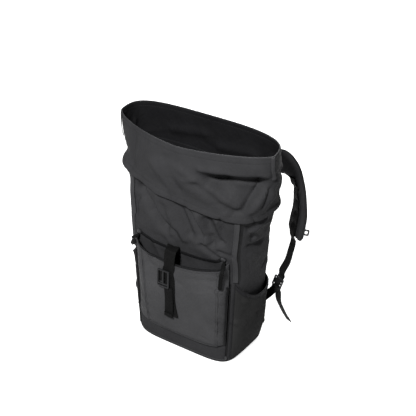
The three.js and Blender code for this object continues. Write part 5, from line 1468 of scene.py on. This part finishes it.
def build_harness(cloth, m, name, side):
    """Shoulder strap, webbing, lock, anchor and sternum slider, mirrored where side is -1."""
    def behind(x, z, out):
        return cloth.behind(side * x, z, out) * [side, 1, 1]

    rows = np.array(SHOULDER)
    centres = np.array(STRAP_ROOT) + rows[:, :3] * np.array(STRAP_SPAN) * [1, 1, -1]
    centres[0, 1] = behind(STRAP_ROOT[0], STRAP_ROOT[2], GAP)[1] + STRAP_THICK / 2
    count = 108
    path, params = smooth_path(centres, count)
    widths = curve_at(rows[:, 3:], params)
    _, across, face = frames(path, widths)

    def waist(share):
        bend = 1 - STRAP_WAIST * math.exp(-(((share - 0.45) / 0.14) ** 2))
        return min(bend, 0.6 + 5 * share) * (0.5 + 0.5 * math.sqrt(1 - max(0, 1 - (1 - share) / 0.05) ** 2))

    def pad_section(share):
        w = STRAP_WIDTH / 2 * waist(share)
        t = STRAP_THICK / 2 * min(1, 0.55 + 4 * share) * min(1, 0.45 + 8 * (1 - share))
        ks = np.linspace(1, -1, 17)
        top = [(w * k, t * (0.42 + 0.58 * (1 - abs(k) ** 3.2) ** 0.6)) for k in ks]
        return top + [(a, -b) for a, b in top[::-1]]

    pad = Shape()
    add_sweep(pad, path, widths, pad_section)
    # the face away from the bag has the shell cloth, the one on the shoulder the mesh
    ring = len(pad_section(0.5))
    pad.tones = [int(k % ring < ring // 2 - 1 and k < count * ring) for k in range(len(pad.tones))]
    if side < 0:
        pad.mirror()
    padding = pad.make(f"strap_pad_{name}", m["mesh"], m["body"], sharp=60)
    dress(padding, [f"shoulder_pad_{name}"])

    shares = np.linspace(0, 1, count + 1)
    half = np.array([STRAP_WIDTH / 2 * waist(share) for share in shares])[:, None]
    thin = np.array([min(1, 0.55 + 4 * u) * min(1, 0.45 + 8 * (1 - u)) for u in shares])[:, None]
    binding = Shape()
    for edge in (1, -1):
        def section(share):
            t = STRAP_THICK * 0.24 * min(1, 0.55 + 4 * share) * min(1, 0.45 + 8 * (1 - share)) + 0.5
            return [(2.6 * math.cos(a), t * math.sin(a)) for a in np.arange(12) * math.pi / 6]
        add_sweep(binding, path + across * half * edge - across * edge * 0.8, widths, section)
        top = path + across * (half - 4.6) * edge + face * (STRAP_THICK * 0.40) * thin
        add_thread(binding, top[6:-4], face[6:-4])
    if side < 0:
        binding.mirror()
    dress(binding.make(f"strap_binding_{name}", m["trim_dark"]), [])

    back_face = cloth.behind(BASE_WIDTH / 4, LOCK_HEIGHT)[1]
    lock = np.array([BASE_WIDTH / 2 + LOCK_ASIDE, back_face + LOCK_REACH, LOCK_HEIGHT])
    lock_across = unit([0.9, -0.43, 0])
    lock_up = unit(np.array([0.17, 0.35, 0.92]) - lock_across * np.dot([0.17, 0.35, 0.92], lock_across))
    lock_front = np.cross(lock_across, lock_up)
    pitch = LOCK_BAR + LOCK_WINDOW
    past = LOCK_THICK / 2 + STRAP_ON + GAP / 4
    turn = LOCK_BAR / 2 + 0.5

    def at_lock(up, front):
        return lock + lock_up * up + lock_front * front

    # the daisy chain: sewn down at bar tacks, and standing off in a low loop between them
    start = int(count * WEBBING_START)
    length = np.linalg.norm(path[1] - path[0]) * (count - start)
    loops = max(1, round(length / 38))
    share = np.linspace(0, 1, count - start + 1)
    puff = 3.4 * np.abs(np.sin(math.pi * share * loops)) ** 1.3
    on_pad = path[start:] + face[start:] * (STRAP_THICK / 2 + GAP + WEBBING / 2 + GAP / 2 + puff)[:, None]
    hang = lock + np.array(HANG) * LOCK_HEIGHT
    weave_at = [(pitch + turn, -past), (pitch - turn, -past), (turn, past), (-turn, past),
                (turn - pitch, -past), (-pitch - turn, -past)]
    woven = np.array([at_lock(*row) for row in weave_at])
    lock_top = at_lock(pitch + LOCK_BAR * 2, -past - 1)
    tail_rows = np.array(TAIL) * [TAIL_SPREAD, TAIL_REACH, -LOCK_HEIGHT]
    tail, _ = smooth_path([woven[5], *(lock + tail_rows)], 30)
    knots = np.vstack([on_pad[-1:], hang, [lock_top], woven])
    drop, drop_params = smooth_path(knots, 90)
    line = np.vstack([on_pad, drop[1:], tail[1:]])
    knot_sides = np.array([widths[-1] + (lock_across - widths[-1]) * min(1, i / (len(hang) + 1))
                           for i in range(len(knots))])
    sides = np.vstack([widths[start:], curve_at(knot_sides, drop_params)[1:],
                       np.broadcast_to(lock_across, (len(tail) - 1, 3))])
    webbing = Shape()
    add_band(webbing, line, sides, HARNESS_WEBBING, WEBBING)
    add_band(webbing, tail[-6:] + lock_front * -1.6, lock_across, HARNESS_WEBBING, WEBBING)
    for i in range(loops + 1):
        k = min(count - 1, start + round((count - start) * i / loops))
        middle = path[k] + face[k] * (STRAP_THICK / 2 + GAP + WEBBING + GAP)
        for shift in (-1.5, 1.5):
            row = middle + (path[min(count, k + 1)] - path[k - 1]) * 0.12 * shift
            reach = np.linspace(-HARNESS_WEBBING / 2 + 1.5, HARNESS_WEBBING / 2 - 1.5, 12)
            add_thread(webbing, row + across[k] * reach[:, None], face[k], 0.6, 1.6, 1.4)
    if side < 0:
        webbing.mirror()
    dress(webbing.make(f"strap_webbing_{name}", m["webbing"]), [f"harness_webbing_{name}"])

    w = LOCK_WIDTH / 2
    edge = pitch + LOCK_BAR / 2
    ladder = bar_frame(f"lock_{name}", m["plastic"], [-w, LOCK_BAR - w, w - LOCK_BAR, w],
                       [-edge, LOCK_BAR - edge, -LOCK_BAR / 2, LOCK_BAR / 2, edge - LOCK_BAR, edge],
                       [(1, 1), (1, 3)], LOCK_THICK, placement(lock, lock_across, lock_up), corner=2.5,
                       flip=side < 0)
    dress(ladder, [f"ladder_lock_{name}"])

    foot = behind(ANCHOR_X, ANCHOR_FOOT, STRAP_ON + 2 * GAP)
    head = behind(ANCHOR_X, ANCHOR_HEAD, STRAP_ON + 2 * GAP)
    anchor_across = unit(behind(ANCHOR_X + 6, ANCHOR_HEAD, 0) - behind(ANCHOR_X - 6, ANCHOR_HEAD, 0))
    lock_foot = at_lock(-pitch - turn - 4, past + 0.5)
    knots = np.array([foot, head, head + [0, 3, 6], (head + lock_foot) / 2, lock_foot,
                      at_lock(-pitch - turn, past), at_lock(turn - pitch, past)])
    knot_sides = np.array([anchor_across + (lock_across - anchor_across) * min(1, max(0, i - 1) / 3)
                           for i in range(len(knots))])
    line, params = smooth_path(knots, 60)
    anchor = Shape()
    add_band(anchor, line, curve_at(knot_sides, params), HARNESS_WEBBING, WEBBING)
    if side < 0:
        anchor.mirror()
    dress(anchor.make(f"anchor_webbing_{name}", m["webbing"]), [f"strap_anchor_{name}"])

    k = round(STERNUM_AT * count)
    outwards = unit(across[k] * 0.5 - face[k] * 0.87)
    middle = (path[k] + across[k] * (STRAP_WIDTH / 2 + 2 * GAP + STERNUM_THICK / 2 + STERNUM_BAR / 2)
              + outwards * (STERNUM_WIDTH / 2 - STERNUM_BAR))
    a, b = STERNUM_WIDTH / 2, STERNUM_HEIGHT / 2
    loop = bar_frame(f"chest_loop_{name}", m["plastic"], [-a, STERNUM_BAR - a, a - STERNUM_BAR, a],
                     [-b, STERNUM_BAR - b, b - STERNUM_BAR, b], [(1, 1)], STERNUM_THICK,
                     placement(middle, outwards, (0, 0, 1)), corner=3.0, flip=side < 0)
    dress(loop, [f"sternum_slider_{name}"])


# Stage
def build_stage(look):
    """Floor, world, lights and camera."""
    mesh = bpy.data.meshes.new("floor")
    corners = [(FLOOR_REACH * x, FLOOR_REACH * y, 0) for x, y in ((-1, -1), (1, -1), (1, 1), (-1, 1))]
    mesh.from_pydata(corners, [], [(0, 1, 2, 3)])
    mesh.materials.append(studio_paper("studio_paper", look.floor))
    floor = bpy.data.objects.new("floor", mesh)
    bpy.context.scene.collection.objects.link(floor)

    world = bpy.data.worlds.new("studio")
    world.use_nodes = True
    world.node_tree.nodes["Background"].inputs["Color"].default_value = (1, 1, 1, 1)
    world.node_tree.nodes["Background"].inputs["Strength"].default_value = SKY_STRENGTH
    bpy.context.scene.world = world
    bpy.context.scene.view_settings.view_transform = "Standard"
    for name, (place, aim, width), power in (("key", KEY_LIGHT, look.key_power),
                                             ("back", BACK_LIGHT, look.back_power)):
        light = bpy.data.lights.new(name, "AREA")
        light.size = width
        light.energy = power
        lamp = bpy.data.objects.new(name, light)
        lamp.location = place
        lamp.rotation_euler = (Vector(aim) - Vector(place)).to_track_quat("-Z", "Y").to_euler()
        bpy.context.scene.collection.objects.link(lamp)

    camera = bpy.data.cameras.new("camera")
    camera.sensor_width = CAMERA_SENSOR
    camera.lens = look.lens
    view = bpy.data.objects.new("camera", camera)
    view.location = CAMERA_PLACE
    view.rotation_euler = (math.radians(CAMERA_TILT), 0, math.radians(CAMERA_TURN))
    bpy.context.scene.collection.objects.link(view)
    bpy.context.scene.camera = view


# Settings
def linear(code):
    """Linear colour of an sRGB hex value."""
    parts = (int(code[k:k + 2], 16) / 255 for k in (1, 3, 5))
    return tuple(c / 12.92 if c <= 0.04045 else ((c + 0.055) / 1.055) ** 2.4 for c in parts)


def colour_setting(name, description, code):
    return FloatVectorProperty(name=name, description=description, subtype="COLOR", size=3, min=0, max=1,
                               default=linear(code))


def length_setting(name, description, millimetres):
    return FloatProperty(name=name, description=description, unit="LENGTH", min=0, precision=5,
                         default=millimetres / 1000)


def power_setting(name, description, watts):
    return FloatProperty(name=name, description=description, unit="POWER", min=0, default=watts)


class BackpackColours(bpy.types.PropertyGroup):
    """Colours of the bag's cloths, bands and fittings."""
    shell: colour_setting("Shell", "Cloth of the body", "#1f1f20")
    collar: colour_setting("Collar", "Cloth of the roll collar", "#1f1f20")
    pocket: colour_setting("Pocket", "Cloth of the front pocket", "#2b2b2c")
    trim: colour_setting("Trim", "Piping, covers and pull tabs", "#262627")
    binding: colour_setting("Binding", "Tape round the padded pieces", "#161617")
    lining: colour_setting("Lining", "Inner faces", "#101011")
    stretch: colour_setting("Stretch knit", "Bottle pockets", "#1d1d1d")
    mesh: colour_setting("Spacer mesh", "Back panel and shoulder straps", "#1a1a1a")
    webbing: colour_setting("Webbing", "Straps and the carry loop", "#0c0c0c")
    zip: colour_setting("Zip", "Zip tapes and coils", "#0d0d0e")
    thread: colour_setting("Thread", "Stitches", "#222223")
    slider: colour_setting("Sliders", "Painted zip sliders", "#1a1a1b")
    buckle: colour_setting("Buckle", "Painted front buckle and back hook", "#0c0c0d")
    plastic: colour_setting("Locks", "Moulded locks and chest loops", "#101011")


class BackpackSizes(bpy.types.PropertyGroup):
    """Sizes of the sewn details."""
    hem_flare: length_setting("Hem flare", "How far the collar's hem stands off the body", 4.5)
    stitch_pitch: length_setting("Stitch pitch", "From one stitch to the next", 4.2)
    stitch_length: length_setting("Stitch length", "Seen length of one stitch", 3.0)
    thread_radius: length_setting("Thread radius", "Half the thickness of the thread", 0.45)
    piping_radius: length_setting("Piping radius", "Half the thickness of the pocket's piping", 0.95)
    crease_count: IntProperty(name="Small creases", min=0, default=190,
                              description="How many faint creases are strewn over the cloth")
    crease_depth: FloatProperty(name="Crease depth", description="Times the depth of every crease",
                                subtype="FACTOR", min=0, soft_max=2, default=1.35)


class BackpackStage(bpy.types.PropertyGroup):
    """Floor, lights and lens."""
    floor: colour_setting("Floor", "Paper under the bag, before it is lit", "#8b8b8b")
    key_power: power_setting("Key light", "Soft light in front of the bag", 275)
    back_power: power_setting("Back light", "Soft light behind the bag", 240)
    lens: FloatProperty(name="Lens", description="Focal length of the camera", unit="CAMERA", min=1,
                        default=64.1)


def size(name):
    """One of the sizes above, in millimetres."""
    return getattr(bpy.context.scene.backpack_sizes, name) * 1000


@cache
def bag_cloth():
    """The bag's cloth, worked out once."""
    return Cloth()


# Operators
class BACKPACK_OT_stage(bpy.types.Operator):
    """Add the floor, the lights and the camera"""
    bl_idname = "backpack.stage"
    bl_label = "Stage"

    def execute(self, context):
        build_stage(context.scene.backpack_stage)
        return {"FINISHED"}


class BACKPACK_OT_body(bpy.types.Operator):
    """Add the body with its base and seams"""
    bl_idname = "backpack.body"
    bl_label = "Body"

    def execute(self, context):
        build_body(bag_cloth(), finishes())
        return {"FINISHED"}


class BACKPACK_OT_collar(bpy.types.Operator):
    """Add the roll collar and its hem"""
    bl_idname = "backpack.collar"
    bl_label = "Collar"

    def execute(self, context):
        build_collar(bag_cloth(), finishes())
        return {"FINISHED"}


class BACKPACK_OT_rim(bpy.types.Operator):
    """Add the binding and the tapes of the rim"""
    bl_idname = "backpack.rim"
    bl_label = "Rim"

    def execute(self, context):
        build_rim(bag_cloth(), finishes())
        return {"FINISHED"}


class BACKPACK_OT_pocket(bpy.types.Operator):
    """Add the front pocket with its piping"""
    bl_idname = "backpack.pocket"
    bl_label = "Front pocket"

    def execute(self, context):
        build_pocket(bag_cloth(), finishes())
        return {"FINISHED"}


class BACKPACK_OT_zips(bpy.types.Operator):
    """Add the tapes and teeth of the pocket's zips"""
    bl_idname = "backpack.zips"
    bl_label = "Zips"

    def execute(self, context):
        build_zips(bag_cloth(), finishes())
        return {"FINISHED"}


class BACKPACK_OT_pulls(bpy.types.Operator):
    """Add the pull tabs that hang from the pocket's sliders"""
    bl_idname = "backpack.pulls"
    bl_label = "Pull tabs"

    def execute(self, context):
        build_pulls(bag_cloth(), finishes())
        return {"FINISHED"}


class BACKPACK_OT_covers(bpy.types.Operator):
    """Add the side zips, partly painted shade beside the flaps, and the flaps over them"""
    bl_idname = "backpack.covers"
    bl_label = "Side zips"

    def execute(self, context):
        build_covers(bag_cloth(), finishes())
        return {"FINISHED"}


class BACKPACK_OT_bottle_pockets(bpy.types.Operator):
    """Add the stretch pockets for bottles"""
    bl_idname = "backpack.bottle_pockets"
    bl_label = "Bottle pockets"

    def execute(self, context):
        build_bottle_pockets(bag_cloth(), finishes())
        return {"FINISHED"}


class BACKPACK_OT_closure(bpy.types.Operator):
    """Add the front strap and its buckle"""
    bl_idname = "backpack.closure"
    bl_label = "Front strap"

    def execute(self, context):
        build_closure(bag_cloth(), finishes())
        return {"FINISHED"}


class BACKPACK_OT_back(bpy.types.Operator):
    """Add the padded back panel, its strap and hook and the carry loop"""
    bl_idname = "backpack.back"
    bl_label = "Back panel"

    def execute(self, context):
        build_back(bag_cloth(), finishes())
        return {"FINISHED"}


class BACKPACK_OT_harness(bpy.types.Operator):
    """Add both shoulder straps with their webbing, locks, anchors and chest loops"""
    bl_idname = "backpack.harness"
    bl_label = "Shoulder straps"

    def execute(self, context):
        for name, side in SIDES:
            build_harness(bag_cloth(), finishes(), name, side)
        return {"FINISHED"}


STEPS = (BACKPACK_OT_stage, BACKPACK_OT_body, BACKPACK_OT_collar, BACKPACK_OT_rim, BACKPACK_OT_pocket,
         BACKPACK_OT_zips, BACKPACK_OT_pulls, BACKPACK_OT_covers, BACKPACK_OT_bottle_pockets,
         BACKPACK_OT_closure, BACKPACK_OT_back, BACKPACK_OT_harness)


class BACKPACK_PT_sidebar(bpy.types.Panel):
    """Settings and pieces of the backpack"""
    bl_idname = "BACKPACK_PT_sidebar"
    bl_label = "Rolltop backpack"
    bl_space_type = "VIEW_3D"
    bl_region_type = "UI"
    bl_category = "Backpack"

    def draw(self, context):
        for group in (context.scene.backpack_sizes, context.scene.backpack_colours,
                      context.scene.backpack_stage):
            box = self.layout.box()
            for name in group.__annotations__:
                box.prop(group, name)
        column = self.layout.column(align=True)
        for step in STEPS:
            column.operator(step.bl_idname)


GROUPS = {"backpack_colours": BackpackColours, "backpack_sizes": BackpackSizes,
          "backpack_stage": BackpackStage}


def register():
    for kind in (*GROUPS.values(), *STEPS, BACKPACK_PT_sidebar):
        bpy.utils.register_class(kind)
    for name, group in GROUPS.items():
        setattr(bpy.types.Scene, name, PointerProperty(type=group))


def unregister():
    for name in GROUPS:
        delattr(bpy.types.Scene, name)
    for kind in (BACKPACK_PT_sidebar, *reversed(STEPS), *reversed(GROUPS.values())):
        bpy.utils.unregister_class(kind)


def main():
    register()
    for step in STEPS:
        getattr(bpy.ops.backpack, step.bl_idname.split(".")[1])()


if __name__ == "__main__":
    main()
